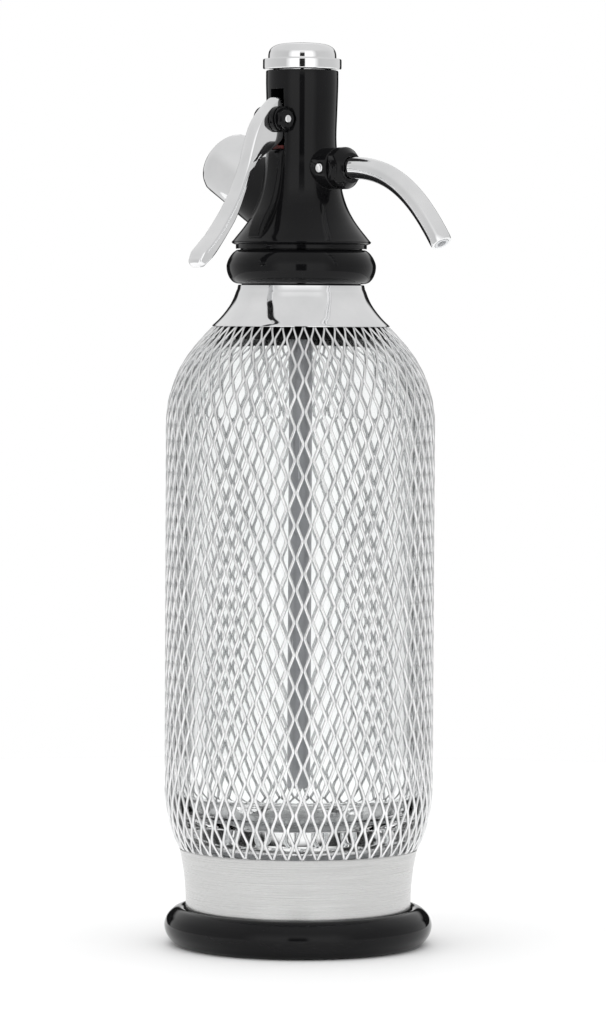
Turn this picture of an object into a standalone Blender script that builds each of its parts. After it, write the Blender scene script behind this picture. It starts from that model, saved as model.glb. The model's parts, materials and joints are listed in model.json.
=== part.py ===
"""Soda siphon: a glass bottle in a wire sleeve, with a lever valve head, a spout and a charger holder.

Sizes below are in millimetres and the scene is in metres. +Z is up and the origin is the centre of the foot.
The spout points along +X, the lever along -Y, and the charger holder along -X, tilted up.
Heights on the bottle's shoulder are taken from the top of its neck, and those on the head from its foot.
"""

import math

import bmesh
import bpy

MM = 0.001
GAP = 0.3

# Bottle and foot
BODY_R = 49.6
NECK_TOP = 248.6
SHOULDER_Z = NECK_TOP - 58.6
SHOULDER_DRAWN_R = 49.6
THROAT_R = 24.0
SLEEVE_WALL = 1.0
SLEEVE_GAP = 0.4
GLASS_WALL = 3.0
GLASS_BASE = 37.0
MOUTH_R = 16.0
NECK_R = 20.0
FOOT_R = BODY_R
FOOT_TOP = 13.9
BAND_R = FOOT_R - 7.9
BAND_FOOT = 8.0
BAND_TOP = 36.0
BAND_WALL = 1.0
FOOT_FLOOR = 3.0
INSERT_TOP = 34.4
INSERT_WALL = 2.0
RISER_R = 4.3
RISER_BORE_R = 2.7
RISER_END = 58.0
RISER_LIP_R = 2.0

# Neck closure
BUSH_R = NECK_R + 2.0
COLLAR_TOP = NECK_TOP - 4.6
UNION_R = BUSH_R + 5.6
UNION_TOP = NECK_TOP + 8.3
UNION_LEDGE = NECK_TOP + 5.1
UNION_LIP = UNION_LEDGE + 1.2
GASKET_THICK = 1.7
PLUG_R = 19.2
CLIP_GROOVE_R = 18.1
CLIP_GROOVE_LOW = UNION_LEDGE - 1.8

# Head
HEAD_FOOT = NECK_TOP + GASKET_THICK + 2 * GAP
TUBE_R = 13.35
TUBE_WAIST_R = 12.75
TUBE_TOP = HEAD_FOOT + 71.9
TUBE_BORE_R = 9.4
SKIRT_R = 25.7
SEAT_Z = HEAD_FOOT + 33.3
CHAMBER_R = 5.5
SEAL_SHELF_Z = HEAD_FOOT + 40.6
SEAL_TOP = HEAD_FOOT + 44.1
SLOT_HALF = 3.3
SLOT_LOW = HEAD_FOOT + 42.6
SLOT_HIGH = HEAD_FOOT + 64.8
CAP_ROOF = HEAD_FOOT + 75.5
CAP_SPIGOT_WALL = 4.5
SEAL_GROOVE = 1.3
SEAT_HOLE_R = 1.8
SLOT_BACK_Y = -5.0
RIB_HALF = 3.4

# The ways through the head's solid foot
RISER_HOLE_TOP = HEAD_FOOT + 2.5
SIDE_WAY_Y = 11.7
SIDE_WAY_LOW = HEAD_FOOT + 3.0
SIDE_WAY_HIGH = HEAD_FOOT + 30.7
WAY_R = 1.3
GAS_WAY_R = 0.7

# Lever
PIVOT_Y = -15.5
PIVOT_Z = HEAD_FOOT + 53.5
PIVOT_R = 1.5
EAR_R = 4.8
EAR_X = 5.05
NUT_R = PIVOT_R + 3.1
NUT_THICK = 1.8
WASHER_THICK = 0.7
PIN_HEAD_R = 3.0
LEVER_WIDTH = 6.0
FORK_TOE = 2.6
STEM_R = 1.5
STEM_HEAD_R = 3.0
LIFT_Z = HEAD_FOOT + 51.6
LIFT_NUT_THICK = 2.7

# Spout
SPOUT_Z = HEAD_FOOT + 35.7
TUBE_OD_R = 4.0
SPIGOT_R = TUBE_OD_R + 1.2
BOSS_R = SPIGOT_R + 2.4
BOSS_END = 19.5
SPIGOT_END = 21.8
SPOUT_BORE_R = 2.6
TUBE_START = 15.4
TUBE_COLLAR_R = TUBE_OD_R + 1.2
TUBE_COLLAR_START = 22.1
TUBE_COLLAR_END = 22.85
NUT_SHOULDER = 23.3
NUT_END = 25.7
BEND_START = 26.0
SPOUT_END_X = 71.0
SPOUT_END_Z = SPOUT_Z - 27.7
LOCK_PIN_X = 16.4
LOCK_PIN_R = 1.75

# Charger holder, measured along its own axis from where that axis meets the head's
CHARGER_Z = HEAD_FOOT + 16.4
CHARGER_TILT = 30.0
CHARGER_BORE_R = 9.5
CHARGER_NECK_R = 4.7
CHARGER_FLOOR = -19.9
SOCKET_END = 26.5
HOLDER_SPIGOT_R = CHARGER_BORE_R + 1.5
HOLDER_SPIGOT_START = SOCKET_END - 8.5
HOLDER_R = HOLDER_SPIGOT_R + 1.5
HOLDER_END = 46.6
SOCKET_R = HOLDER_SPIGOT_R + 1.9
PIERCER_R = 0.9
PIERCER_ROOT = 2.4
GAS_WAY_X = 18.7
GAS_WAY_Z = CHARGER_Z - 10.5
GAS_WAY_TURN = 213.0
GAS_WAY_LENGTH = 9.4

# How finely round pieces are divided
COARSE = 16
MEDIUM = 24
FINE = 36


def clear_scene():
    for obj in list(bpy.data.objects):
        bpy.data.objects.remove(obj)


def new_collection(name):
    group = bpy.data.collections.new(name)
    bpy.context.scene.collection.children.link(group)
    return group


def new_material(name, colour, metallic, roughness, alpha=1.0):
    material = bpy.data.materials.new(name)
    material.use_nodes = True
    shader = material.node_tree.nodes["Principled BSDF"]
    shader.inputs["Base Color"].default_value = (*colour, 1.0)
    shader.inputs["Metallic"].default_value = metallic
    shader.inputs["Roughness"].default_value = roughness
    shader.inputs["Alpha"].default_value = alpha
    return material


def place(obj, at=(0.0, 0.0, 0.0), turn=(0.0, 0.0, 0.0)):
    obj.location = tuple(value * MM for value in at)
    obj.rotation_euler = tuple(math.radians(value) for value in turn)
    return obj


def turned(name, group, profile, steps, closed=True):
    """A profile of (radius, height) pairs turned about the local Z axis."""
    points = [(radius * MM, 0.0, height * MM) for radius, height in profile]
    edges = [(i, i + 1) for i in range(len(points) - 1)]
    if closed:
        edges.append((len(points) - 1, 0))
    mesh = bpy.data.meshes.new(name)
    mesh.from_pydata(points, edges, [])
    obj = bpy.data.objects.new(name, mesh)
    group.objects.link(obj)
    screw = obj.modifiers.new("Turn", "SCREW")
    screw.axis = "Z"
    screw.steps = steps
    screw.render_steps = steps
    screw.use_merge_vertices = True
    screw.merge_threshold = 0.00001
    screw.use_smooth_shade = True
    return obj


def solid_turned(name, group, profile, steps):
    """A turned solid whose profile starts and ends on the axis."""
    return turned(name, group, profile, steps, closed=False)


def washer(name, group, inner, outer, low, high, steps):
    profile = [(inner, high), (outer, high), (outer, low), (inner, low)]
    return turned(name, group, profile, steps)


def rod(name, group, radius, low, high, steps):
    profile = [(0.0, high), (radius, high), (radius, low), (0.0, low)]
    return solid_turned(name, group, profile, steps)


def extruded(name, group, outline, half_width, width_at=None):
    """An outline of (y, z) pairs given thickness along X, optionally wider or narrower along Y."""
    shape = bmesh.new()
    corners = []
    for side in (-1.0, 1.0):
        loop = []
        for y, z in outline:
            half = half_width if width_at is None else width_at(y)
            loop.append(shape.verts.new((side * half * MM, y * MM, z * MM)))
        corners.append(loop)
    count = len(outline)
    for i in range(count):
        j = (i + 1) % count
        shape.faces.new((corners[0][i], corners[0][j], corners[1][j], corners[1][i]))
    shape.faces.new(corners[0])
    shape.faces.new(corners[1])
    bmesh.ops.recalc_face_normals(shape, faces=shape.faces)
    mesh = bpy.data.meshes.new(name)
    shape.to_mesh(mesh)
    shape.free()
    obj = bpy.data.objects.new(name, mesh)
    group.objects.link(obj)
    return obj


def block(name, group, low, high):
    outline = [(low[1], low[2]), (high[1], low[2]), (high[1], high[2]), (low[1], high[2])]
    centre = 0.5 * (low[0] + high[0])
    obj = extruded(name, group, outline, 0.5 * (high[0] - low[0]))
    return place(obj, at=(centre, 0.0, 0.0))


def rounded(obj, width, segments, angle=40.0):
    bevel = obj.modifiers.new("Round edges", "BEVEL")
    bevel.width = width * MM
    bevel.segments = segments
    bevel.limit_method = "ANGLE"
    bevel.angle_limit = math.radians(angle)
    return obj


def combine(obj, other, operation):
    step = obj.modifiers.new(other.name, "BOOLEAN")
    step.operation = operation
    step.solver = "EXACT"
    step.object = other
    return obj


def cut(obj, cutter):
    return combine(obj, cutter, "DIFFERENCE")


def join(obj, extra):
    return combine(obj, extra, "UNION")


def on_shoulder(points):
    """Points on the shoulder, moved out or in with the body's radius while the throat stays where it is."""
    spread = (BODY_R - THROAT_R) / (SHOULDER_DRAWN_R - THROAT_R)
    return [(THROAT_R + (r - THROAT_R) * spread if r > THROAT_R else r, z) for r, z in points]


def spout_path(start, end, count):
    """Points (x, z) along the bend of the spout, between two fractions of its length."""
    corners = (
        (BEND_START, SPOUT_Z),
        (SPOUT_END_X - 26.4, SPOUT_Z),
        (SPOUT_END_X - 13.4, SPOUT_Z - 8.1),
        (SPOUT_END_X, SPOUT_END_Z),
    )
    points = []
    for i in range(count):
        t = start + (end - start) * i / (count - 1)
        weights = ((1 - t) ** 3, 3 * t * (1 - t) ** 2, 3 * t * t * (1 - t), t**3)
        x = sum(weight * corner[0] for weight, corner in zip(weights, corners))
        z = sum(weight * corner[1] for weight, corner in zip(weights, corners))
        points.append((x, z))
    return points


def pipe(name, group, path, outer, inner, sides):
    """A hollow tube along a path of (x, z) points, with one outer radius for each point."""
    count = len(path)
    points = []
    for radii in (outer, [inner] * count):
        for i, (x, z) in enumerate(path):
            before = path[max(i - 1, 0)]
            after = path[min(i + 1, count - 1)]
            length = math.hypot(after[0] - before[0], after[1] - before[1])
            across = (-(after[1] - before[1]) / length, (after[0] - before[0]) / length)
            for side in range(sides):
                angle = 2 * math.pi * side / sides
                out = radii[i] * math.cos(angle)
                y = radii[i] * math.sin(angle)
                points.append(((x + out * across[0]) * MM, y * MM, (z + out * across[1]) * MM))
    faces = []
    for side in range(sides):
        following = (side + 1) % sides
        for i in range(count - 1):
            here = i * sides
            ahead = here + sides
            faces.append((here + side, ahead + side, ahead + following, here + following))
            here += count * sides
            ahead += count * sides
            faces.append((here + following, ahead + following, ahead + side, here + side))
        inside = count * sides
        last = (count - 1) * sides
        faces.append((side, following, inside + following, inside + side))
        faces.append(
            (last + following, last + side, inside + last + side, inside + last + following)
        )
    mesh = bpy.data.meshes.new(name)
    mesh.from_pydata(points, [], faces)
    shape = bmesh.new()
    shape.from_mesh(mesh)
    bmesh.ops.recalc_face_normals(shape, faces=shape.faces)
    for face in shape.faces:
        face.smooth = True
    shape.to_mesh(mesh)
    shape.free()
    obj = bpy.data.objects.new(name, mesh)
    group.objects.link(obj)
    return obj


def make_base_ring(parts):
    seat = BAND_R + GAP
    profile = [
        (0.0, FOOT_FLOOR),
        (BAND_R - 1.8, FOOT_FLOOR),
        (BAND_R - 1.8, BAND_FOOT - GAP),
        (seat, BAND_FOOT - GAP),
        (seat, FOOT_TOP - 1.3),
        (seat + 0.5, FOOT_TOP - 0.4),
        (FOOT_R - 6.0, FOOT_TOP),
        (FOOT_R - 4.0, FOOT_TOP - 0.6),
        (FOOT_R - 2.1, FOOT_TOP - 2.0),
        (FOOT_R - 0.7, FOOT_TOP - 3.8),
        (FOOT_R, FOOT_TOP - 6.0),
        (FOOT_R - 0.3, 5.4),
        (FOOT_R - 1.3, 3.1),
        (FOOT_R - 2.9, 1.2),
        (FOOT_R - 5.0, 0.2),
        (FOOT_R - 6.1, 0.0),
        (0.0, 0.0),
    ]
    return solid_turned("base_ring", parts, profile, FINE)


def make_base_insert(parts):
    outside = BAND_R - 2.1
    inside = outside - INSERT_WALL
    profile = [
        (0.0, INSERT_TOP),
        (outside - 0.8, INSERT_TOP),
        (outside, INSERT_TOP - 0.8),
        (outside, FOOT_FLOOR + GAP),
        (inside, FOOT_FLOOR + GAP),
        (inside, INSERT_TOP - INSERT_WALL),
        (0.0, INSERT_TOP - INSERT_WALL),
    ]
    return solid_turned("base_insert", parts, profile, MEDIUM)


def make_base_cushion(parts):
    outside = BAND_R - 8.7
    profile = [
        (0.0, GLASS_BASE - GAP),
        (outside - 0.6, GLASS_BASE - GAP),
        (outside, GLASS_BASE - 3 * GAP),
        (outside, INSERT_TOP + GAP),
        (0.0, INSERT_TOP + GAP),
    ]
    return solid_turned("base_cushion", parts, profile, MEDIUM)


def make_base_band(parts):
    outer = [
        (BAND_R + 2.1, BAND_TOP),
        (BAND_R + 2.4, BAND_TOP - 0.4),
        (BAND_R + 1.8, BAND_TOP - 3.6),
        (BAND_R + 1.2, BAND_TOP - 6.8),
        (BAND_R + 0.6, BAND_TOP - 10.4),
        (BAND_R + 0.2, BAND_TOP - 14.4),
        (BAND_R, BAND_TOP - 19.0),
        (BAND_R, BAND_FOOT),
    ]
    inner = [(r - BAND_WALL, z) for r, z in reversed(outer[1:])]
    return turned("base_band", parts, outer + inner, FINE)


def make_glass_bottle(parts):
    body = BODY_R - SLEEVE_WALL - SLEEVE_GAP
    neck = [
        (NECK_R, NECK_TOP),
        (NECK_R, NECK_TOP - 7.0),
        (NECK_R + 1.4, NECK_TOP - 11.8),
        (25.6, NECK_TOP - 17.4),
        (33.0, NECK_TOP - 24.7),
        (36.6, NECK_TOP - 26.4),
        (40.8, NECK_TOP - 32.5),
        (44.4, NECK_TOP - 39.2),
        (47.0, NECK_TOP - 47.1),
    ]
    outer = [
        (body, SHOULDER_Z),
        (body, 60.0),
        (BODY_R - 2.0, 51.4),
        (BODY_R - 4.0, 44.0),
        (BODY_R - 7.0, 39.3),
        (BODY_R - 12.0, GLASS_BASE),
        (0.0, GLASS_BASE),
    ]
    inner = [
        (0.0, GLASS_BASE + 8.0),
        (BODY_R - 15.6, GLASS_BASE + 8.6),
        (BODY_R - 8.0, GLASS_BASE + 11.9),
        (BODY_R - 5.0, GLASS_BASE + 17.4),
        (body - GLASS_WALL, GLASS_BASE + 24.0),
        (body - GLASS_WALL, SHOULDER_Z),
    ]
    throat = [
        (43.9, NECK_TOP - 47.4),
        (41.5, NECK_TOP - 40.4),
        (34.6, NECK_TOP - 29.2),
        (24.2, NECK_TOP - 20.4),
        (MOUTH_R + 2.0, NECK_TOP - 12.6),
        (MOUTH_R, NECK_TOP - 7.0),
        (MOUTH_R, NECK_TOP),
    ]
    profile = inner + on_shoulder(throat) + on_shoulder(neck) + outer
    return solid_turned("glass_bottle", parts, profile, FINE)


def make_wire_sleeve(parts):
    body = BODY_R - SLEEVE_WALL
    foot = BAND_TOP + 0.4
    outer_shoulder = [
        (32.9, NECK_TOP - 20.3),
        (37.6, NECK_TOP - 25.7),
        (42.4, NECK_TOP - 31.6),
        (45.9, NECK_TOP - 38.2),
        (48.5, NECK_TOP - 46.5),
    ]
    outer = [
        (BODY_R, SHOULDER_Z),
        (BODY_R, 60.0),
        (BODY_R - 0.6, 51.0),
        (BODY_R - 2.4, 43.2),
        (BODY_R - 5.0, foot),
    ]
    inner = [
        (BODY_R - 6.0, foot),
        (BODY_R - 3.4, 43.4),
        (BODY_R - 1.6, 51.2),
        (body, 60.2),
        (body, SHOULDER_Z),
    ]
    inner_shoulder = [
        (47.5, NECK_TOP - 46.8),
        (45.0, NECK_TOP - 38.7),
        (41.6, NECK_TOP - 32.2),
        (36.8, NECK_TOP - 26.3),
        (31.9, NECK_TOP - 20.8),
    ]
    profile = on_shoulder(outer_shoulder) + outer + inner + on_shoulder(inner_shoulder)
    return turned("wire_sleeve", parts, profile, FINE)


def make_neck_collar(parts):
    outer = [
        (BUSH_R + 0.7, COLLAR_TOP),
        (BUSH_R + 1.3, COLLAR_TOP - 0.6),
        (BUSH_R + 2.0, NECK_TOP - 7.0),
        (24.9, NECK_TOP - 9.4),
        (26.1, NECK_TOP - 11.8),
        (27.9, NECK_TOP - 14.4),
        (30.1, NECK_TOP - 17.0),
        (32.8, NECK_TOP - 19.4),
        (32.6, NECK_TOP - 19.9),
    ]
    inner = [
        (32.0, NECK_TOP - 19.9),
        (29.4, NECK_TOP - 17.5),
        (27.1, NECK_TOP - 14.8),
        (25.2, NECK_TOP - 12.0),
        (BUSH_R + 2.0, NECK_TOP - 9.4),
        (BUSH_R + 1.1, NECK_TOP - 7.0),
        (BUSH_R + GAP, COLLAR_TOP),
    ]
    return turned("neck_collar", parts, on_shoulder(outer + inner), FINE)


def make_neck_bush(parts):
    outer = [
        (BUSH_R - 0.5, NECK_TOP),
        (BUSH_R, NECK_TOP - 0.5),
        (BUSH_R, NECK_TOP - 7.2),
        (BUSH_R + 1.2, NECK_TOP - 10.0),
        (24.5, NECK_TOP - 12.4),
        (26.3, NECK_TOP - 15.0),
        (28.2, NECK_TOP - 17.1),
        (31.1, NECK_TOP - 20.6),
        (34.8, NECK_TOP - 24.5),
    ]
    inner = [
        (33.4, NECK_TOP - 24.4),
        (29.5, NECK_TOP - 20.5),
        (26.2, NECK_TOP - 17.4),
        (NECK_R + 3.1, NECK_TOP - 13.9),
        (NECK_R + 1.4, NECK_TOP - 10.7),
        (NECK_R + GAP, NECK_TOP - 6.9),
        (NECK_R + GAP, NECK_TOP),
    ]
    return turned("neck_bush", parts, on_shoulder(outer + inner), FINE)


def make_bottle_gasket(parts):
    low = NECK_TOP + GAP
    high = low + GASKET_THICK
    return washer("bottle_gasket", parts, MOUTH_R + GAP, BUSH_R - GAP, low, high, MEDIUM)


def make_gas_flap(parts):
    top = HEAD_FOOT - GAP
    return washer("gas_flap", parts, RISER_R + 3.7, MOUTH_R - 0.1, top - 0.7, top, MEDIUM)


def make_union_ring(parts):
    profile = [
        (BUSH_R + 0.8, UNION_TOP),
        (UNION_R - 3.4, UNION_TOP),
        (UNION_R - 2.1, UNION_TOP - 1.5),
        (UNION_R - 0.8, UNION_TOP - 3.5),
        (UNION_R, UNION_TOP - 6.1),
        (UNION_R - 0.2, UNION_TOP - 8.5),
        (UNION_R - 1.1, UNION_TOP - 10.5),
        (UNION_R - 2.4, UNION_TOP - 12.0),
        (UNION_R - 3.7, COLLAR_TOP + GAP),
        (BUSH_R + GAP, COLLAR_TOP + GAP),
        (BUSH_R + GAP, UNION_LEDGE),
        (PLUG_R + GAP, UNION_LEDGE),
        (PLUG_R + GAP, UNION_LIP),
        (BUSH_R + 0.8, UNION_LIP),
    ]
    return turned("union_ring", parts, profile, FINE)


def make_retaining_clip(parts):
    low = CLIP_GROOVE_LOW + GAP
    high = UNION_LEDGE - GAP
    return washer("retaining_clip", parts, CLIP_GROOVE_R + 0.1, BUSH_R - 0.2, low, high, FINE)


def make_riser_socket(parts):
    top = RISER_HOLE_TOP - GAP
    foot = NECK_TOP - 6.8
    profile = [
        (RISER_LIP_R, top),
        (RISER_R + 0.5, top),
        (RISER_R + 0.5, HEAD_FOOT - GAP),
        (RISER_R + 2.9, HEAD_FOOT - GAP),
        (RISER_R + 2.9, foot + 0.6),
        (RISER_R + 2.3, foot),
        (RISER_R + GAP, foot),
        (RISER_R + GAP, NECK_TOP),
        (RISER_LIP_R, NECK_TOP),
    ]
    return turned("riser_socket", parts, profile, COARSE)


def make_riser_tube(parts):
    top = NECK_TOP - GAP
    return washer("riser_tube", parts, RISER_BORE_R, RISER_R, RISER_END, top, COARSE)


def on_pivot(obj):
    return place(obj, at=(0.0, PIVOT_Y, PIVOT_Z), turn=(0.0, 90.0, 0.0))


def on_spout_axis(obj):
    return place(obj, at=(0.0, 0.0, SPOUT_Z), turn=(0.0, 90.0, 0.0))


def on_charger_axis(obj):
    return place(obj, at=(0.0, 0.0, CHARGER_Z), turn=(0.0, CHARGER_TILT - 90.0, 0.0))


def head_shell(parts):
    """The outside of the head, solid all through."""
    plug_top = UNION_LIP + GAP
    recess_r = BUSH_R + 0.5
    profile = [
        (0.0, TUBE_TOP),
        (TUBE_R - 0.4, TUBE_TOP),
        (TUBE_R, TUBE_TOP - 0.4),
        (TUBE_R, TUBE_TOP - 4.8),
        (13.0, HEAD_FOOT + 56.0),
        (TUBE_WAIST_R, HEAD_FOOT + 47.6),
        (13.1, HEAD_FOOT + 41.6),
        (13.6, HEAD_FOOT + 37.6),
        (14.3, HEAD_FOOT + 32.5),
        (15.1, HEAD_FOOT + 27.5),
        (16.1, HEAD_FOOT + 24.0),
        (17.6, HEAD_FOOT + 20.3),
        (19.5, HEAD_FOOT + 16.9),
        (21.6, HEAD_FOOT + 13.9),
        (24.0, HEAD_FOOT + 10.9),
        (SKIRT_R - 0.5, HEAD_FOOT + 9.7),
        (SKIRT_R, HEAD_FOOT + 8.9),
        (SKIRT_R - 0.2, HEAD_FOOT + 8.2),
        (SKIRT_R - 0.8, HEAD_FOOT + 7.9),
        (SKIRT_R - 1.5, HEAD_FOOT + 7.8),
        (SKIRT_R - 1.5, UNION_TOP + GAP),
        (recess_r, UNION_TOP + GAP),
        (recess_r, plug_top),
        (PLUG_R, plug_top),
        (PLUG_R, UNION_LEDGE),
        (CLIP_GROOVE_R, UNION_LEDGE),
        (CLIP_GROOVE_R, CLIP_GROOVE_LOW),
        (PLUG_R, CLIP_GROOVE_LOW),
        (PLUG_R, HEAD_FOOT),
        (0.0, HEAD_FOOT),
    ]
    return solid_turned("head_body", parts, profile, FINE)


def add_head_branches(head, helpers):
    """The spout boss, the charger socket, the lever's ears and the rib below the lever's slot."""
    root = 8.0
    edge = 0.4
    boss_profile = [
        (0.0, SPIGOT_END),
        (SPIGOT_R - edge, SPIGOT_END),
        (SPIGOT_R, SPIGOT_END - edge),
        (SPIGOT_R, BOSS_END),
        (BOSS_R - edge, BOSS_END),
        (BOSS_R, BOSS_END - edge),
        (BOSS_R, root),
        (0.0, root),
    ]
    join(head, on_spout_axis(solid_turned("boss", helpers, boss_profile, MEDIUM)))
    socket_profile = [
        (0.0, SOCKET_END),
        (SOCKET_R - edge, SOCKET_END),
        (SOCKET_R, SOCKET_END - edge),
        (SOCKET_R, root),
        (0.0, root),
    ]
    join(head, on_charger_axis(solid_turned("socket", helpers, socket_profile, FINE)))
    ears = rod("ears", helpers, EAR_R, -EAR_X, EAR_X, MEDIUM)
    join(head, on_pivot(ears))
    rib_root = -10.0
    outline = [
        (rib_root, SLOT_LOW + 0.2),
        (-13.7, SLOT_LOW + 0.2),
        (-14.6, HEAD_FOOT + 41.5),
        (-15.0, HEAD_FOOT + 35.1),
        (-15.9, HEAD_FOOT + 30.3),
        (-17.2, HEAD_FOOT + 26.0),
        (-19.0, HEAD_FOOT + 22.1),
        (-21.4, HEAD_FOOT + 18.5),
        (-23.6, HEAD_FOOT + 14.5),
        (-25.0, HEAD_FOOT + 10.5),
        (-25.0, HEAD_FOOT + 9.7),
        (rib_root, HEAD_FOOT + 9.7),
    ]
    rib = extruded("rib", helpers, outline, RIB_HALF)
    join(head, rounded(rib, 1.0, 2, 50.0))


def cut_head_bores(head, helpers):
    """The tube's bore with its valve seat, the charger's bore, and the spout's bore."""
    bore_profile = [
        (0.0, TUBE_TOP + 1.0),
        (TUBE_BORE_R + 1.5, TUBE_TOP + 1.0),
        (TUBE_BORE_R + 1.5, TUBE_TOP - SEAL_GROOVE),
        (TUBE_BORE_R, TUBE_TOP - SEAL_GROOVE),
        (TUBE_BORE_R, SEAL_SHELF_Z),
        (CHAMBER_R, SEAL_SHELF_Z),
        (CHAMBER_R, SEAT_Z),
        (SEAT_HOLE_R, SEAT_Z),
        (SEAT_HOLE_R, SEAT_Z - 3.8),
        (0.0, SEAT_Z - 3.8),
    ]
    cut(head, solid_turned("tube_bore", helpers, bore_profile, MEDIUM))
    mouth = SOCKET_END + 2.0
    shoulder = HOLDER_SPIGOT_START - GAP
    charger_profile = [
        (0.0, mouth),
        (HOLDER_SPIGOT_R + GAP, mouth),
        (HOLDER_SPIGOT_R + GAP, shoulder),
        (CHARGER_BORE_R, shoulder),
        (CHARGER_BORE_R, CHARGER_FLOOR + 18.4),
        (CHARGER_NECK_R, CHARGER_FLOOR + 11.4),
        (CHARGER_NECK_R, CHARGER_FLOOR),
        (PIERCER_R + 0.1, CHARGER_FLOOR),
        (PIERCER_R + 0.1, CHARGER_FLOOR - PIERCER_ROOT - 0.2),
        (0.0, CHARGER_FLOOR - PIERCER_ROOT - 0.2),
    ]
    cut(head, on_charger_axis(solid_turned("charger_bore", helpers, charger_profile, MEDIUM)))
    spout_profile = [
        (0.0, SPIGOT_END + 2.0),
        (TUBE_OD_R + GAP, SPIGOT_END + 2.0),
        (TUBE_OD_R + GAP, TUBE_START - 1.6),
        (SPOUT_BORE_R, TUBE_START - 1.6),
        (SPOUT_BORE_R, 2.5),
        (0.0, 2.5),
    ]
    cut(head, on_spout_axis(solid_turned("spout_bore", helpers, spout_profile, COARSE)))


def cut_head_slot(head, helpers):
    """The lever's slot, its pin's hole and nut seats, and the hole for the pin that locks the spout."""
    for side_name, low, high in (("right", EAR_X + 0.05, 12.0), ("left", -12.0, -EAR_X - 0.05)):
        cut(head, on_pivot(rod("nut_seat_" + side_name, helpers, NUT_R + 0.4, low, high, MEDIUM)))
    slot_low = (-SLOT_HALF, -24.0, SLOT_LOW)
    slot_high = (SLOT_HALF, SLOT_BACK_Y, SLOT_HIGH)
    cut(head, block("lever_slot", helpers, slot_low, slot_high))
    cut(head, on_pivot(rod("pivot_hole", helpers, PIVOT_R + GAP, -9.0, 9.0, COARSE)))
    lock = rod("lock_hole", helpers, LOCK_PIN_R + GAP, TUBE_OD_R - 0.5, 12.0, COARSE)
    cut(head, place(lock, at=(LOCK_PIN_X, 0.0, SPOUT_Z), turn=(90.0, 0.0, 0.0)))


def cut_head_channels(head, helpers):
    """The liquid's way up past the charger, and the gas's way down from the piercing pin."""
    hole_r = RISER_R + 0.8
    cut(head, rod("riser_hole", helpers, hole_r, HEAD_FOOT - 2.0, RISER_HOLE_TOP, COARSE))
    low_way = rod("low_way", helpers, WAY_R, 0.0, SIDE_WAY_Y, COARSE)
    cut(head, place(low_way, at=(0.0, 0.0, SIDE_WAY_LOW), turn=(-90.0, 0.0, 0.0)))
    side_low = SIDE_WAY_LOW - 0.7
    side_high = SIDE_WAY_HIGH + 0.7
    side_way = rod("side_way", helpers, WAY_R + 0.05, side_low, side_high, COARSE)
    cut(head, place(side_way, at=(0.0, SIDE_WAY_Y, 0.0)))
    high_way = rod("high_way", helpers, WAY_R - 0.05, 0.0, SIDE_WAY_Y, COARSE)
    cut(head, place(high_way, at=(0.0, 0.0, SIDE_WAY_HIGH), turn=(-90.0, 0.0, 0.0)))
    gas_way = rod("gas_way", helpers, GAS_WAY_R, 0.0, GAS_WAY_LENGTH, COARSE)
    cut(head, place(gas_way, at=(GAS_WAY_X, 0.0, GAS_WAY_Z), turn=(0.0, GAS_WAY_TURN, 0.0)))


def make_head_body(parts, helpers):
    head = head_shell(parts)
    add_head_branches(head, helpers)
    cut_head_bores(head, helpers)
    cut_head_slot(head, helpers)
    cut_head_channels(head, helpers)
    return head


def lever_half_width(y):
    """Half the lever's width at a distance y from its pivot, narrow at the bend and wide at the tip."""
    out = -y
    half = 0.5 * LEVER_WIDTH
    steps = [(6.0, half), (14.0, half - 0.2), (21.0, half + 0.2), (30.0, half + 0.6), (39.5, half + 0.85)]
    if out <= steps[0][0]:
        return half
    for (near, first), (far, second) in zip(steps, steps[1:]):
        if out <= far:
            return first + (second - first) * (out - near) / (far - near)
    return steps[-1][1]


def make_lever(parts, helpers):
    """The lever, drawn from its pivot, with its fork under the lift nut on either side of the stem."""
    fork_top = LIFT_Z - GAP - PIVOT_Z
    fork_foot = fork_top - 3.6
    fork_toe = FORK_TOE - PIVOT_Y
    outline = [
        (2.4, 7.3),
        (1.7, 8.1),
        (0.6, 7.9),
        (-2.1, 5.7),
        (-5.4, 2.8),
        (-8.0, -0.2),
        (-9.9, -3.4),
        (-11.5, -7.2),
        (-12.9, -11.4),
        (-14.3, -15.8),
        (-15.8, -19.5),
        (-17.5, -23.1),
        (-19.7, -27.5),
        (-23.3, -33.1),
        (-27.0, -38.0),
        (-30.8, -42.5),
        (-34.5, -46.0),
        (-37.3, -48.5),
        (-38.7, -50.2),
        (-38.9, -51.7),
        (-38.0, -53.1),
        (-36.5, -53.5),
        (-34.5, -52.2),
        (-31.5, -49.4),
        (-27.7, -45.0),
        (-24.0, -40.6),
        (-20.8, -36.5),
        (-18.4, -32.4),
        (-16.4, -27.6),
        (-14.4, -22.9),
        (-12.4, -18.8),
        (-9.9, -15.8),
        (-6.3, -13.3),
        (-2.4, -10.9),
        (2.5, -8.7),
        (6.0, -6.3),
        (9.0, -5.8),
        (fork_toe, fork_foot),
        (fork_toe, fork_top),
        (10.5, fork_top),
        (6.9, -0.8),
        (4.0, 3.0),
    ]
    lever = extruded("lever", parts, outline, LEVER_WIDTH / 2, lever_half_width)
    place(lever, at=(0.0, PIVOT_Y, PIVOT_Z))
    rounded(lever, 0.8, 2)
    for face in lever.data.polygons:
        face.use_smooth = True
    fork_half = STEM_R + 0.5
    gap_low = (-fork_half, -fork_half - 1.0, LIFT_Z - 5.5)
    gap_high = (fork_half, FORK_TOE + 3.4, LIFT_Z + 2.5)
    cut(lever, block("fork_gap", helpers, gap_low, gap_high))
    cut(lever, on_pivot(rod("lever_hole", helpers, PIVOT_R + GAP, -5.0, 5.0, COARSE)))
    return lever


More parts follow.
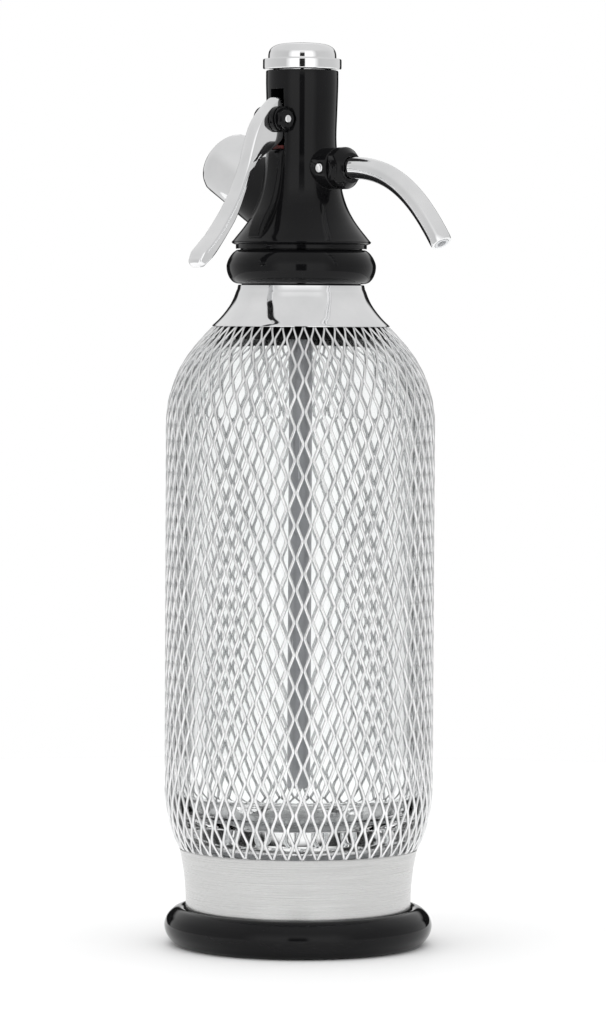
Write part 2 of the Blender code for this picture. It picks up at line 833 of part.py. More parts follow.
def make_lever_pin(parts):
    """The lever's pin, with a low head on the left and its end through the nut on the right."""
    end = EAR_X + 3.8
    head_low = EAR_X + GAP
    head_high = head_low + 1.3
    edge = 0.4
    profile = [
        (0.0, end),
        (PIVOT_R - edge, end),
        (PIVOT_R, end - edge),
        (PIVOT_R, -head_low),
        (PIN_HEAD_R, -head_low),
        (PIN_HEAD_R, -head_high + edge),
        (PIN_HEAD_R - edge, -head_high),
        (0.0, -head_high),
    ]
    return on_pivot(solid_turned("lever_pin", parts, profile, COARSE))


def make_pivot_washer(parts):
    low = EAR_X + GAP
    return on_pivot(
        washer("pivot_washer", parts, PIVOT_R + GAP, NUT_R - 0.2, low, low + WASHER_THICK, COARSE)
    )


def make_pivot_nut(parts, helpers):
    """A hexagon nut with its outer corners chamfered."""
    low = EAR_X + GAP + WASHER_THICK + GAP
    high = low + NUT_THICK
    profile = [(0.0, high), (NUT_R, high), (NUT_R, low), (0.0, low)]
    nut = solid_turned("pivot_nut", parts, profile, 6)
    nut.modifiers["Turn"].use_smooth_shade = False
    chamfer_profile = [
        (0.0, high + 0.2),
        (NUT_R - 0.6, high + 0.2),
        (NUT_R + 0.1, high - 0.5),
        (NUT_R + 0.1, low - 1.0),
        (0.0, low - 1.0),
    ]
    chamfer = on_pivot(solid_turned("nut_chamfer", helpers, chamfer_profile, COARSE))
    combine(nut, chamfer, "INTERSECT")
    cut(nut, on_pivot(rod("nut_hole", helpers, PIVOT_R + 0.2, low - 1.0, high + 1.0, COARSE)))
    return on_pivot(nut)


def make_top_cap(parts):
    """A domed cap whose hollow spigot keeps the valve's spring down."""
    flange_r = TUBE_R + 1.15
    flange_top = TUBE_TOP + 4.2
    top = TUBE_TOP + 10.2
    spigot_r = TUBE_BORE_R - GAP
    spigot_foot = TUBE_TOP - 6.3
    profile = [
        (0.0, top),
        (6.0, top - 0.2),
        (9.4, top - 0.8),
        (11.2, top - 1.6),
        (12.2, top - 2.8),
        (12.6, top - 4.2),
        (12.6, flange_top),
        (flange_r - 0.4, flange_top),
        (flange_r, flange_top - 0.4),
        (flange_r, TUBE_TOP + 1.1),
        (flange_r - 0.4, TUBE_TOP + GAP),
        (spigot_r, TUBE_TOP + GAP),
        (spigot_r, spigot_foot),
        (spigot_r - CAP_SPIGOT_WALL, spigot_foot),
        (spigot_r - CAP_SPIGOT_WALL, CAP_ROOF),
        (0.0, CAP_ROOF),
    ]
    return solid_turned("top_cap", parts, profile, MEDIUM)


def make_cap_seal(parts):
    low = TUBE_TOP - SEAL_GROOVE + 0.2
    outer = TUBE_BORE_R + 1.3
    return washer("cap_seal", parts, TUBE_BORE_R, outer, low, TUBE_TOP + 0.1, MEDIUM)


def make_valve_stem(parts):
    head_foot = SEAT_Z + 2.7
    head_top = head_foot + 1.3
    top = CAP_ROOF - 6.4
    profile = [
        (0.0, top),
        (STEM_R - 0.4, top),
        (STEM_R, top - 0.5),
        (STEM_R, head_top),
        (STEM_HEAD_R, head_top),
        (STEM_HEAD_R, head_foot),
        (0.0, head_foot),
    ]
    return solid_turned("valve_stem", parts, profile, COARSE)


def make_valve_seal(parts):
    top = SEAT_Z + 2.4
    foot = SEAT_Z + GAP
    outer = STEM_HEAD_R + 0.6
    profile = [(0.0, top), (outer, top), (outer, foot + 0.5), (outer - 0.5, foot), (0.0, foot)]
    return solid_turned("valve_seal", parts, profile, COARSE)


def make_lift_nut(parts):
    top = LIFT_Z + LIFT_NUT_THICK
    return washer("lift_nut", parts, STEM_R + 0.2, STEM_R + 2.9, LIFT_Z, top, COARSE)


def make_stem_seal(parts, helpers):
    """The red seal around the stem, with a tongue that lies on the floor of the lever's slot."""
    inner = STEM_R + 0.2
    outer = TUBE_BORE_R - GAP
    seal = washer("stem_seal", parts, inner, outer, SEAL_SHELF_Z + GAP, SEAL_TOP, MEDIUM)
    low = (-SLOT_HALF + GAP, -TUBE_R + 0.15, SLOT_LOW + GAP)
    high = (SLOT_HALF - GAP, -7.0, SEAL_TOP)
    return join(seal, block("seal_tongue", helpers, low, high))


def make_valve_spring(parts):
    wire_r = 0.45
    turns = 5.0
    coil_r = 3.4
    low = LIFT_Z + LIFT_NUT_THICK + GAP + wire_r
    high = CAP_ROOF - GAP - wire_r
    count = int(turns * 10)
    curve = bpy.data.curves.new("valve_spring", "CURVE")
    curve.dimensions = "3D"
    curve.bevel_depth = wire_r * MM
    curve.bevel_resolution = 1
    curve.use_fill_caps = True
    line = curve.splines.new("POLY")
    line.points.add(count)
    for i in range(count + 1):
        angle = 2 * math.pi * turns * i / count
        height = low + (high - low) * i / count
        x = coil_r * math.cos(angle) * MM
        y = coil_r * math.sin(angle) * MM
        line.points[i].co = (x, y, height * MM, 1.0)
    obj = bpy.data.objects.new("valve_spring", curve)
    parts.objects.link(obj)
    return obj


def make_spout_tube(parts):
    straight = [
        (TUBE_START, TUBE_OD_R),
        (TUBE_COLLAR_START - 0.05, TUBE_OD_R),
        (TUBE_COLLAR_START, TUBE_COLLAR_R),
        (TUBE_COLLAR_END, TUBE_COLLAR_R),
        (TUBE_COLLAR_END + 0.05, TUBE_OD_R),
    ]
    path = [(x, SPOUT_Z) for x, radius in straight]
    radii = [radius for x, radius in straight]
    bend = spout_path(0.0, 1.0, 12)
    path += bend
    radii += [TUBE_OD_R] * len(bend)
    return pipe("spout_tube", parts, path, radii, SPOUT_BORE_R + 0.1, COARSE)


def make_spout_liner(parts):
    path = spout_path(0.86, 1.006, 6)
    return pipe("spout_liner", parts, path, [SPOUT_BORE_R - 0.1] * 6, 1.7, COARSE)


def make_spout_seal(parts):
    low = TUBE_START - 1.3
    high = TUBE_START - GAP
    return on_spout_axis(
        washer("spout_seal", parts, SPOUT_BORE_R, TUBE_OD_R, low, high, COARSE)
    )


def make_spout_nut(parts, helpers):
    """A round nut with two flats, which draws the tube's collar against the spigot."""
    start = BOSS_END + GAP
    outer = BOSS_R + 0.1
    flat = SPIGOT_R + 1.1
    profile = [
        (TUBE_OD_R + GAP, NUT_END),
        (TUBE_OD_R + 1.6, NUT_END),
        (outer, NUT_END - 2.8),
        (outer, start),
        (SPIGOT_R + GAP, start),
        (SPIGOT_R + GAP, NUT_SHOULDER),
        (TUBE_OD_R + GAP, NUT_SHOULDER),
    ]
    nut = on_spout_axis(turned("spout_nut", parts, profile, MEDIUM))
    for name, low_y, high_y in (("near_flat", -2 * flat, -flat), ("far_flat", flat, 2 * flat)):
        low = (start - 5.0, low_y, SPOUT_Z - 2 * BOSS_R)
        high = (NUT_END + 5.0, high_y, SPOUT_Z + 2 * BOSS_R)
        cut(nut, block(name, helpers, low, high))
    return nut


def make_lock_pin(parts):
    low = TUBE_OD_R + 0.4
    high = BOSS_R + 0.3
    profile = [
        (0.0, high),
        (LOCK_PIN_R - 0.3, high),
        (LOCK_PIN_R, high - 0.3),
        (LOCK_PIN_R, low),
        (0.0, low),
    ]
    pin = solid_turned("spout_lock_pin", parts, profile, COARSE)
    return place(pin, at=(LOCK_PIN_X, 0.0, SPOUT_Z), turn=(90.0, 0.0, 0.0))


def make_charger_holder(parts):
    """The cup that holds the charger, screwed into the socket by its spigot."""
    start = SOCKET_END + GAP
    profile = [
        (0.0, HOLDER_END),
        (HOLDER_R - 3.4, HOLDER_END - 0.2),
        (HOLDER_R - 1.6, HOLDER_END - 0.8),
        (HOLDER_R - 0.5, HOLDER_END - 1.8),
        (HOLDER_R, HOLDER_END - 3.2),
        (HOLDER_R, start),
        (HOLDER_SPIGOT_R, start),
        (HOLDER_SPIGOT_R, HOLDER_SPIGOT_START),
        (CHARGER_BORE_R, HOLDER_SPIGOT_START),
        (CHARGER_BORE_R, HOLDER_END - 5.0),
        (CHARGER_BORE_R - 0.8, HOLDER_END - 2.9),
        (CHARGER_BORE_R - 2.9, HOLDER_END - 1.6),
        (0.0, HOLDER_END - 1.2),
    ]
    return on_charger_axis(solid_turned("charger_holder", parts, profile, FINE))


def make_charger_seal(parts):
    low = CHARGER_FLOOR + 0.1
    outer = CHARGER_NECK_R - GAP
    return on_charger_axis(
        washer("charger_seal", parts, PIERCER_R + GAP, outer, low, low + 1.2, COARSE)
    )


def make_piercing_pin(parts):
    profile = [
        (0.0, CHARGER_FLOOR + 4.2),
        (PIERCER_R, CHARGER_FLOOR + 2.4),
        (PIERCER_R, CHARGER_FLOOR - PIERCER_ROOT),
        (0.0, CHARGER_FLOOR - PIERCER_ROOT),
    ]
    return on_charger_axis(solid_turned("piercing_pin", parts, profile, COARSE))


def give_materials(parts):
    looks = {
        "glass": new_material("clear_glass", (0.86, 0.90, 0.90), 0.0, 0.03, 0.3),
        "wire": new_material("wire_steel", (0.78, 0.79, 0.80), 1.0, 0.25),
        "brushed": new_material("brushed_steel", (0.66, 0.66, 0.65), 1.0, 0.35),
        "chrome": new_material("chrome", (0.82, 0.83, 0.84), 1.0, 0.08),
        "black": new_material("gloss_black", (0.012, 0.012, 0.013), 0.0, 0.12),
        "dull": new_material("dull_black", (0.03, 0.03, 0.032), 0.0, 0.55),
        "rubber": new_material("rubber", (0.05, 0.05, 0.05), 0.0, 0.8),
        "red": new_material("red_rubber", (0.35, 0.03, 0.02), 0.0, 0.6),
        "riser": new_material("grey_tube", (0.30, 0.31, 0.33), 0.0, 0.35),
        "liner": new_material("pale_plastic", (0.72, 0.73, 0.74), 0.0, 0.4),
        "brass": new_material("brass", (0.70, 0.52, 0.22), 1.0, 0.3),
    }
    choice = {
        "glass_bottle": "glass",
        "wire_sleeve": "wire",
        "base_band": "brushed",
        "base_insert": "liner",
        "base_cushion": "liner",
        "bottle_gasket": "rubber",
        "gas_flap": "rubber",
        "cap_seal": "rubber",
        "spout_seal": "rubber",
        "charger_seal": "rubber",
        "valve_seal": "rubber",
        "stem_seal": "red",
        "riser_tube": "riser",
        "spout_liner": "liner",
        "riser_socket": "dull",
        "lift_nut": "brass",
        "valve_stem": "brushed",
        "valve_spring": "wire",
        "retaining_clip": "brushed",
        "piercing_pin": "brushed",
        "neck_collar": "chrome",
        "lever": "chrome",
        "lever_pin": "chrome",
        "top_cap": "chrome",
        "spout_tube": "chrome",
        "spout_lock_pin": "chrome",
        "charger_holder": "chrome",
    }
    for obj in parts.objects:
        obj.data.materials.append(looks[choice.get(obj.name, "black")])


def build():
    clear_scene()
    parts = new_collection("Soda siphon")
    helpers = new_collection("Cutters")
    helpers.hide_render = True
    make_base_ring(parts)
    make_base_insert(parts)
    make_base_cushion(parts)
    make_base_band(parts)
    make_glass_bottle(parts)
    make_wire_sleeve(parts)
    make_neck_collar(parts)
    make_neck_bush(parts)
    make_bottle_gasket(parts)
    make_gas_flap(parts)
    make_union_ring(parts)
    make_retaining_clip(parts)
    make_riser_socket(parts)
    make_riser_tube(parts)
    make_head_body(parts, helpers)
    make_lever(parts, helpers)
    make_lever_pin(parts)
    make_pivot_washer(parts)
    make_pivot_nut(parts, helpers)
    make_top_cap(parts)
    make_cap_seal(parts)
    make_valve_stem(parts)
    make_valve_seal(parts)
    make_lift_nut(parts)
    make_stem_seal(parts, helpers)
    make_valve_spring(parts)
    make_spout_tube(parts)
    make_spout_liner(parts)
    make_spout_seal(parts)
    make_spout_nut(parts, helpers)
    make_lock_pin(parts)
    make_charger_holder(parts)
    make_charger_seal(parts)
    make_piercing_pin(parts)
    give_materials(parts)
    for obj in helpers.objects:
        obj.hide_render = True
        obj.display_type = "WIRE"


build()
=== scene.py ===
"""Looks of the soda siphon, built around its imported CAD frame.

Lengths in this file are in millimetres until they reach Blender, which works in metres.
The frame has +Z up along the bottle's axis, the spout along +X, the lever along -Y and the charger
holder along -X.
"""

import json
import math

import bmesh
import bpy
import numpy as np
from mathutils import Matrix, Quaternion, Vector


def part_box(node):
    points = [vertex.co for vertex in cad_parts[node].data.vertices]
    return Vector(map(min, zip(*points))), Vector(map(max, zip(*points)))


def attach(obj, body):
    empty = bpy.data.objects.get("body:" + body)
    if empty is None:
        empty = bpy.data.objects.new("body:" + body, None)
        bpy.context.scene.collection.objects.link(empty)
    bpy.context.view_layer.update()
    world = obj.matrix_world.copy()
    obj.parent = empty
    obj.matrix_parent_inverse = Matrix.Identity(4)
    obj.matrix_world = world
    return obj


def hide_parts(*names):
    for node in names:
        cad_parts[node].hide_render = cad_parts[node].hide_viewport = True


MM = 0.001

# How finely round pieces are divided
ROUND_STEPS = 192
SMALL_STEPS = 64

# Expanded metal sleeve
MESH_COLUMNS = 52
MESH_ROWS = 17
STRAND_WIDTH = 1.12
WIDTH_TAPER = 0.7
STRAND_SQUARENESS = 0.7
STRAND_DEPTH = 0.85
STRAND_TILT = 14.0
SAMPLES_PER_ROW = 14
PINCH = 0.93

# Camera
CAMERA_AZIMUTH = 45.0
CAMERA_DISTANCE = 1.72
CAMERA_HEIGHT = 0.2377
CAMERA_PITCH = 2.58
CAMERA_ROLL = 0.29
CAMERA_ASIDE = 0.0011
CAMERA_LENS = 163.8

# Studio
TENT_LEVEL = 0.72
BESIDE_LEVEL = 1.3
GAP_HALF_WIDTH = 8.0
EDGE_START = 9.0
EDGE_END = 36.0
EDGE_RISE = 0.22
EDGE_FADE = 0.08
EDGE_LEVEL = 0.015
GAP_LEVEL = 0.02
GAP_FADE_START = 0.25
GAP_FADE_END = 0.5
OVERHEAD_LEVEL = TENT_LEVEL * 1.05
OVERHEAD_START = 0.35
OVERHEAD_END = 0.7
DIFFUSE_EXTRA = 0.08
OVERHEAD_POWER = 7.5
LEFT_BOX_POWER = 2.0
FLOOR_RADIUS = 0.7

# Sizes that several pieces share, in millimetres
TUBE_RADIUS = 4.0
CHARGER_HEIGHT = 267.3
SOCKET_END = 26.5
HOLDER_END = 46.6


# ---------------------------------------------------------------- frame

def span(node):
    """The lowest and highest corners of a CAD node, in millimetres."""
    low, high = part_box(node)
    return low / MM, high / MM


def on_body(obj, body, slot, *nodes):
    """Makes a piece ride on a body, in a material slot, in place of the CAD nodes named."""
    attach(obj, body)
    if nodes:
        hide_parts(*nodes)
    obj.data.materials.clear()
    obj.data.materials.append(materials[slot])
    return obj


# ---------------------------------------------------------------- outlines

def curve_through(points, per_span=6):
    """Points of a smooth curve that passes through each of the points given."""
    given = np.array(points, float)
    padded = np.vstack([2 * given[0] - given[1], given, 2 * given[-1] - given[-2]])
    made = []
    for i in range(1, len(padded) - 2):
        before, here, ahead, after = padded[i - 1 : i + 3]
        for step in range(per_span):
            t = step / per_span
            made.append(
                0.5
                * (
                    2 * here
                    + (ahead - before) * t
                    + (2 * before - 5 * here + 4 * ahead - after) * t**2
                    + (3 * here - before - 3 * ahead + after) * t**3
                )
            )
    made.append(given[-1])
    return [tuple(point) for point in made]


def eased(corners, segments=5):
    """An outline whose corners (a, b, radius) are rounded with arcs.

    A corner without a radius stays sharp.
    """
    made = []
    count = len(corners)
    for i, corner in enumerate(corners):
        here = Vector(corner[:2])
        radius = corner[2] if len(corner) > 2 else 0.0
        if radius == 0.0 or i in (0, count - 1):
            made.append(tuple(here))
            continue
        back = Vector(corners[i - 1][:2]) - here
        ahead = Vector(corners[i + 1][:2]) - here
        turn = back.angle(ahead)
        reach = min(radius / math.tan(turn / 2), 0.49 * back.length, 0.49 * ahead.length)
        start = here + back.normalized() * reach
        end = here + ahead.normalized() * reach
        for step in range(segments + 1):
            t = step / segments
            point = (1 - t) ** 2 * start + 2 * t * (1 - t) * here + t**2 * end
            made.append(tuple(point))
    return made


# ---------------------------------------------------------------- meshes

def mesh_piece(name, points, faces, sharp=35.0):
    mesh = bpy.data.meshes.new(name)
    mesh.from_pydata([tuple(point) for point in np.array(points) * MM], [], faces)
    mesh.shade_smooth()
    mesh.set_sharp_from_angle(angle=math.radians(sharp))
    obj = bpy.data.objects.new(name, mesh)
    bpy.context.scene.collection.objects.link(obj)
    return obj


def turned(name, profile, steps=ROUND_STEPS, closed=False, matrix=None, sharp=35.0):
    """A profile of (radius, height) turned about Z, then moved by a matrix.

    Ends at radius 0 close at a point.
    """
    points = []
    rings = []
    for radius, height in profile:
        if radius < 1e-6:
            rings.append([len(points)] * steps)
            points.append((0.0, 0.0, height))
            continue
        first = len(points)
        rings.append(list(range(first, first + steps)))
        for i in range(steps):
            angle = 2 * math.pi * i / steps
            points.append((radius * math.cos(angle), radius * math.sin(angle), height))
    faces = []
    pairs = list(zip(rings, rings[1:]))
    if closed:
        pairs.append((rings[-1], rings[0]))
    for near, far in pairs:
        for i in range(steps):
            j = (i + 1) % steps
            face = []
            for vertex in (near[i], far[i], far[j], near[j]):
                if vertex not in face:
                    face.append(vertex)
            if len(face) > 2:
                faces.append(face)
    points = np.array(points)
    if matrix is not None:
        points = points @ np.array(matrix.to_3x3()).T + np.array(matrix.translation)
    return mesh_piece(name, points, faces, sharp)


def swept(name, path, radii, bore, sides=SMALL_STEPS):
    """A tube along a path in the XZ plane, with an outer radius for each point and one bore."""
    path = np.array(path)
    ahead = np.gradient(path, axis=0)
    ahead /= np.linalg.norm(ahead, axis=1)[:, None]
    across = np.stack([-ahead[:, 1], ahead[:, 0]], axis=1)
    angles = 2 * np.pi * np.arange(sides) / sides
    rings = []
    for surface in (np.array(radii), np.full(len(path), bore)):
        for i, radius in enumerate(surface):
            out = radius * np.cos(angles)
            x = path[i, 0] + out * across[i, 0]
            z = path[i, 1] + out * across[i, 1]
            rings.append(np.stack([x, radius * np.sin(angles), z], axis=1))
    count = len(path)
    order = list(range(count)) + list(range(2 * count - 1, count - 1, -1))
    faces = []
    for near, far in zip(order, order[1:] + order[:1]):
        for i in range(sides):
            j = (i + 1) % sides
            faces.append((near * sides + i, near * sides + j, far * sides + j, far * sides + i))
    return mesh_piece(name, np.vstack(rings), faces)


def extruded(name, outline, half_width, round_width=0.0, segments=4, centre=0.0):
    """A closed outline of (y, z) points given thickness along X, with rounded edges."""
    count = len(outline)
    points = [(centre + side * half_width, y, z) for side in (-1, 1) for y, z in outline]
    faces = [(i, (i + 1) % count, count + (i + 1) % count, count + i) for i in range(count)]
    faces.append(tuple(range(count))[::-1])
    faces.append(tuple(range(count, 2 * count)))
    obj = mesh_piece(name, points, faces)
    if round_width:
        bevel = obj.modifiers.new("Round edges", "BEVEL")
        bevel.width = round_width * MM
        bevel.segments = segments
        bevel.limit_method = "ANGLE"
        bevel.angle_limit = math.radians(50)
    return obj


def settled(obj, sharp=35.0):
    """The same object with its modifiers worked into its mesh."""
    graph = bpy.context.evaluated_depsgraph_get()
    mesh = bpy.data.meshes.new_from_object(obj.evaluated_get(graph), depsgraph=graph)
    obj.modifiers.clear()
    obj.data = mesh
    mesh.shade_smooth()
    mesh.set_sharp_from_angle(angle=math.radians(sharp))
    return obj


def combined(obj, helpers, operation):
    for helper in helpers:
        step = obj.modifiers.new(helper.name, "BOOLEAN")
        step.operation = operation
        step.solver = "EXACT"
        step.object = helper
    settled(obj)
    for helper in helpers:
        bpy.data.objects.remove(helper)
    return obj


def faces_out(obj):
    """Turns the faces of a closed mesh outwards."""
    shape = bmesh.new()
    shape.from_mesh(obj.data)
    bmesh.ops.recalc_face_normals(shape, faces=shape.faces)
    shape.to_mesh(obj.data)
    shape.free()
    return obj


# ---------------------------------------------------------------- materials

def new_material(name, colour, metallic, roughness, **settings):
    material = bpy.data.materials.new("look_" + name)
    material.use_nodes = True
    shader = material.node_tree.nodes["Principled BSDF"]
    shader.inputs["Base Color"].default_value = (*colour, 1.0)
    shader.inputs["Metallic"].default_value = metallic
    shader.inputs["Roughness"].default_value = roughness
    for key, value in settings.items():
        shader.inputs[key.replace("_", " ")].default_value = value
    return material, material.node_tree, shader


def noise(tree, scale, detail=3.0, stretch=(1.0, 1.0, 1.0), rough=0.5):
    """A noise texture in the object's own coordinates.

    A larger stretch makes finer grain along that axis.
    """
    coordinates = tree.nodes.new("ShaderNodeTexCoord")
    mapping = tree.nodes.new("ShaderNodeMapping")
    mapping.inputs["Scale"].default_value = stretch
    texture = tree.nodes.new("ShaderNodeTexNoise")
    texture.inputs["Scale"].default_value = scale
    texture.inputs["Detail"].default_value = detail
    texture.inputs["Roughness"].default_value = rough
    tree.links.new(coordinates.outputs["Object"], mapping.inputs["Vector"])
    tree.links.new(mapping.outputs["Vector"], texture.inputs["Vector"])
    return texture.outputs["Fac"]


def ranged(tree, value, low, high, start=0.3, end=0.7):
    node = tree.nodes.new("ShaderNodeMapRange")
    node.inputs["From Min"].default_value = start
    node.inputs["From Max"].default_value = end
    node.inputs["To Min"].default_value = low
    node.inputs["To Max"].default_value = high
    tree.links.new(value, node.inputs["Value"])
    return node.outputs["Result"]


def tinted(tree, value, dark, light, start=0.3, end=0.7):
    ramp = tree.nodes.new("ShaderNodeValToRGB")
    ramp.color_ramp.elements[0].position = start
    ramp.color_ramp.elements[0].color = (*dark, 1.0)
    ramp.color_ramp.elements[1].position = end
    ramp.color_ramp.elements[1].color = (*light, 1.0)
    tree.links.new(value, ramp.inputs["Fac"])
    return ramp.outputs["Color"]


def bumped(tree, shader, value, strength, distance, soft_edge=0.0):
    """Surface relief from a value, over edges that are softened by a small radius in millimetres."""
    bump = tree.nodes.new("ShaderNodeBump")
    bump.inputs["Strength"].default_value = strength
    bump.inputs["Distance"].default_value = distance * MM
    tree.links.new(value, bump.inputs["Height"])
    if soft_edge:
        bevel = tree.nodes.new("ShaderNodeBevel")
        bevel.samples = 4
        bevel.inputs["Radius"].default_value = soft_edge * MM
        tree.links.new(bevel.outputs["Normal"], bump.inputs["Normal"])
    tree.links.new(bump.outputs["Normal"], shader.inputs["Normal"])


def gloss_black():
    """Polished moulded plastic: a faint moulding ripple, with smudges that dull it a little."""
    material, tree, shader = new_material("gloss_black", (0.004, 0.004, 0.0045), 0.0, 0.06)
    shader.inputs["Specular IOR Level"].default_value = 0.18
    smudge = noise(tree, 38.0, 4.0)
    tree.links.new(ranged(tree, smudge, 0.035, 0.10), shader.inputs["Roughness"])
    tree.links.new(
        tinted(tree, smudge, (0.0035, 0.0035, 0.004), (0.007, 0.007, 0.0075)),
        shader.inputs["Base Color"],
    )
    bumped(tree, shader, noise(tree, 90.0, 2.0), 0.03, 0.2, soft_edge=0.35)
    return material


def chrome():
    """Polished plating, with the slight waviness of the metal under it and fine cleaning marks."""
    material, tree, shader = new_material("chrome", (0.86, 0.865, 0.87), 1.0, 0.05)
    marks = noise(tree, 60.0, 5.0)
    tree.links.new(ranged(tree, marks, 0.025, 0.085), shader.inputs["Roughness"])
    tree.links.new(
        tinted(tree, marks, (0.80, 0.805, 0.81), (0.90, 0.90, 0.905)), shader.inputs["Base Color"]
    )
    bumped(tree, shader, noise(tree, 45.0, 1.0), 0.03, 0.3)
    return material


def wire_steel():
    """Bright expanded metal: each strand keeps a little of the cut's roughness."""
    material, tree, shader = new_material("wire_steel", (0.84, 0.845, 0.85), 1.0, 0.16)
    grain = noise(tree, 900.0, 3.0)
    tree.links.new(ranged(tree, grain, 0.10, 0.26), shader.inputs["Roughness"])
    tree.links.new(
        tinted(tree, noise(tree, 120.0, 3.0), (0.74, 0.745, 0.75), (0.92, 0.92, 0.925)),
        shader.inputs["Base Color"],
    )
    bumped(tree, shader, grain, 0.12, 0.08)
    return material


def brushed_steel():
    """Steel brushed around the axis: fine rings of grain, longer than they are tall."""
    material, tree, shader = new_material("brushed_steel", (0.70, 0.70, 0.695), 1.0, 0.28)
    grain = noise(tree, 26.0, 6.0, stretch=(1.0, 1.0, 150.0), rough=0.65)
    tree.links.new(ranged(tree, grain, 0.20, 0.34), shader.inputs["Roughness"])
    tree.links.new(
        tinted(tree, grain, (0.50, 0.50, 0.495), (0.66, 0.66, 0.655)), shader.inputs["Base Color"]
    )
    bumped(tree, shader, grain, 0.10, 0.05)
    return material


def clear_glass():
    """Pressed bottle glass: almost colourless, with the gentle unevenness of its wall."""
    material, tree, shader = new_material(
        "clear_glass", (0.97, 0.98, 0.98), 0.0, 0.0, Transmission_Weight=1.0, IOR=1.3
    )
    film = noise(tree, 25.0, 3.0)
    tree.links.new(ranged(tree, film, 0.0, 0.03), shader.inputs["Roughness"])
    tree.links.new(
        tinted(tree, film, (0.955, 0.965, 0.965), (0.99, 0.995, 0.995)), shader.inputs["Base Color"]
    )
    bumped(tree, shader, noise(tree, 28.0, 2.0), 0.10, 1.0)
    return material


def grey_tube():
    """Smoky drawn plastic tube, with faint lines along its length."""
    material, tree, shader = new_material(
        "grey_tube", (0.76, 0.77, 0.79), 0.0, 0.2, Transmission_Weight=0.6, IOR=1.3
    )
    lines = noise(tree, 60.0, 4.0, stretch=(12.0, 12.0, 0.4))
    tree.links.new(ranged(tree, lines, 0.14, 0.28), shader.inputs["Roughness"])
    tree.links.new(
        tinted(tree, lines, (0.70, 0.71, 0.73), (0.80, 0.81, 0.83)), shader.inputs["Base Color"]
    )
    bumped(tree, shader, lines, 0.05, 0.1)
    return material


def grained(name, dark, light, rough_low, rough_high, scale, relief, metallic=0.0):
    """A plain material with a fine grain in its colour, roughness and surface."""
    material, tree, shader = new_material(name, light, metallic, rough_high)
    grain = noise(tree, scale, 4.0)
    tree.links.new(ranged(tree, grain, rough_low, rough_high), shader.inputs["Roughness"])
    tree.links.new(tinted(tree, grain, dark, light), shader.inputs["Base Color"])
    bumped(tree, shader, noise(tree, scale * 3.0, 3.0), relief, 0.1)
    return material


def make_materials():
    rubber_grain = (0.60, 0.85, 700.0, 0.25)
    return {
        "gloss_black": gloss_black(),
        "chrome": chrome(),
        "wire_steel": wire_steel(),
        "brushed_steel": brushed_steel(),
        "clear_glass": clear_glass(),
        "grey_tube": grey_tube(),
        "dull_black": grained(
            "dull_black", (0.014, 0.014, 0.015), (0.03, 0.03, 0.031), 0.38, 0.55, 900.0, 0.2
        ),
        "rubber": grained("rubber", (0.018, 0.018, 0.018), (0.04, 0.04, 0.04), *rubber_grain),
        "red_rubber": grained("red_rubber", (0.05, 0.006, 0.005), (0.10, 0.011, 0.009), *rubber_grain),
        "pale_plastic": grained(
            "pale_plastic", (0.62, 0.63, 0.65), (0.76, 0.77, 0.78), 0.25, 0.42, 500.0, 0.1
        ),
        "brass": grained(
            "brass", (0.62, 0.43, 0.17), (0.78, 0.58, 0.26), 0.22, 0.38, 600.0, 0.1, metallic=1.0
        ),
    }


# ---------------------------------------------------------------- foot and bottle

def make_base_ring():
    low, high = span("base_ring")
    radius = high.x
    top = high.z
    seat = span("base_band")[1].x - 2.1
    crown = curve_through(
        [
            (seat + 0.5, top - 0.35),
            (seat + 1.7, top),
            (seat + 3.6, top - 0.5),
            (radius - 2.1, top - 2.0),
            (radius - 0.7, top - 3.9),
            (radius, top - 6.4),
            (radius - 0.35, top - 8.9),
            (radius - 1.4, 2.9),
            (radius - 3.0, 1.1),
            (radius - 4.9, 0.2),
            (radius - 6.1, low.z),
        ]
    )
    inside = [(0.0, low.z), (0.0, 3.0), (39.9, 3.0), (39.9, 7.7), (seat, 7.7), (seat, top - 1.2)]
    obj = turned("base_ring_turned", inside[1:] + crown + inside[:1])
    return on_body(faces_out(obj), "bottle", "gloss_black", "base_ring")


def make_base_band():
    low, high = span("base_band")
    wall = 0.9
    foot = high.x - 2.4
    outer = curve_through(
        [(foot, low.z), (foot, 17.0), (foot + 0.25, 22.0), (foot + 0.85, 27.5), (foot + 1.7, 32.4)]
    )
    lip = [
        (high.x - 0.15, high.z - 0.9),
        (high.x, high.z - 0.45),
        (high.x - 0.12, high.z - 0.12),
        (high.x - 0.45, high.z),
        (high.x - 0.85, high.z - 0.15),
    ]
    inner = [(radius - wall, height) for radius, height in outer[::-1]]
    obj = turned("base_band_turned", outer + lip + inner, closed=True)
    return on_body(faces_out(obj), "bottle", "brushed_steel", "base_band")


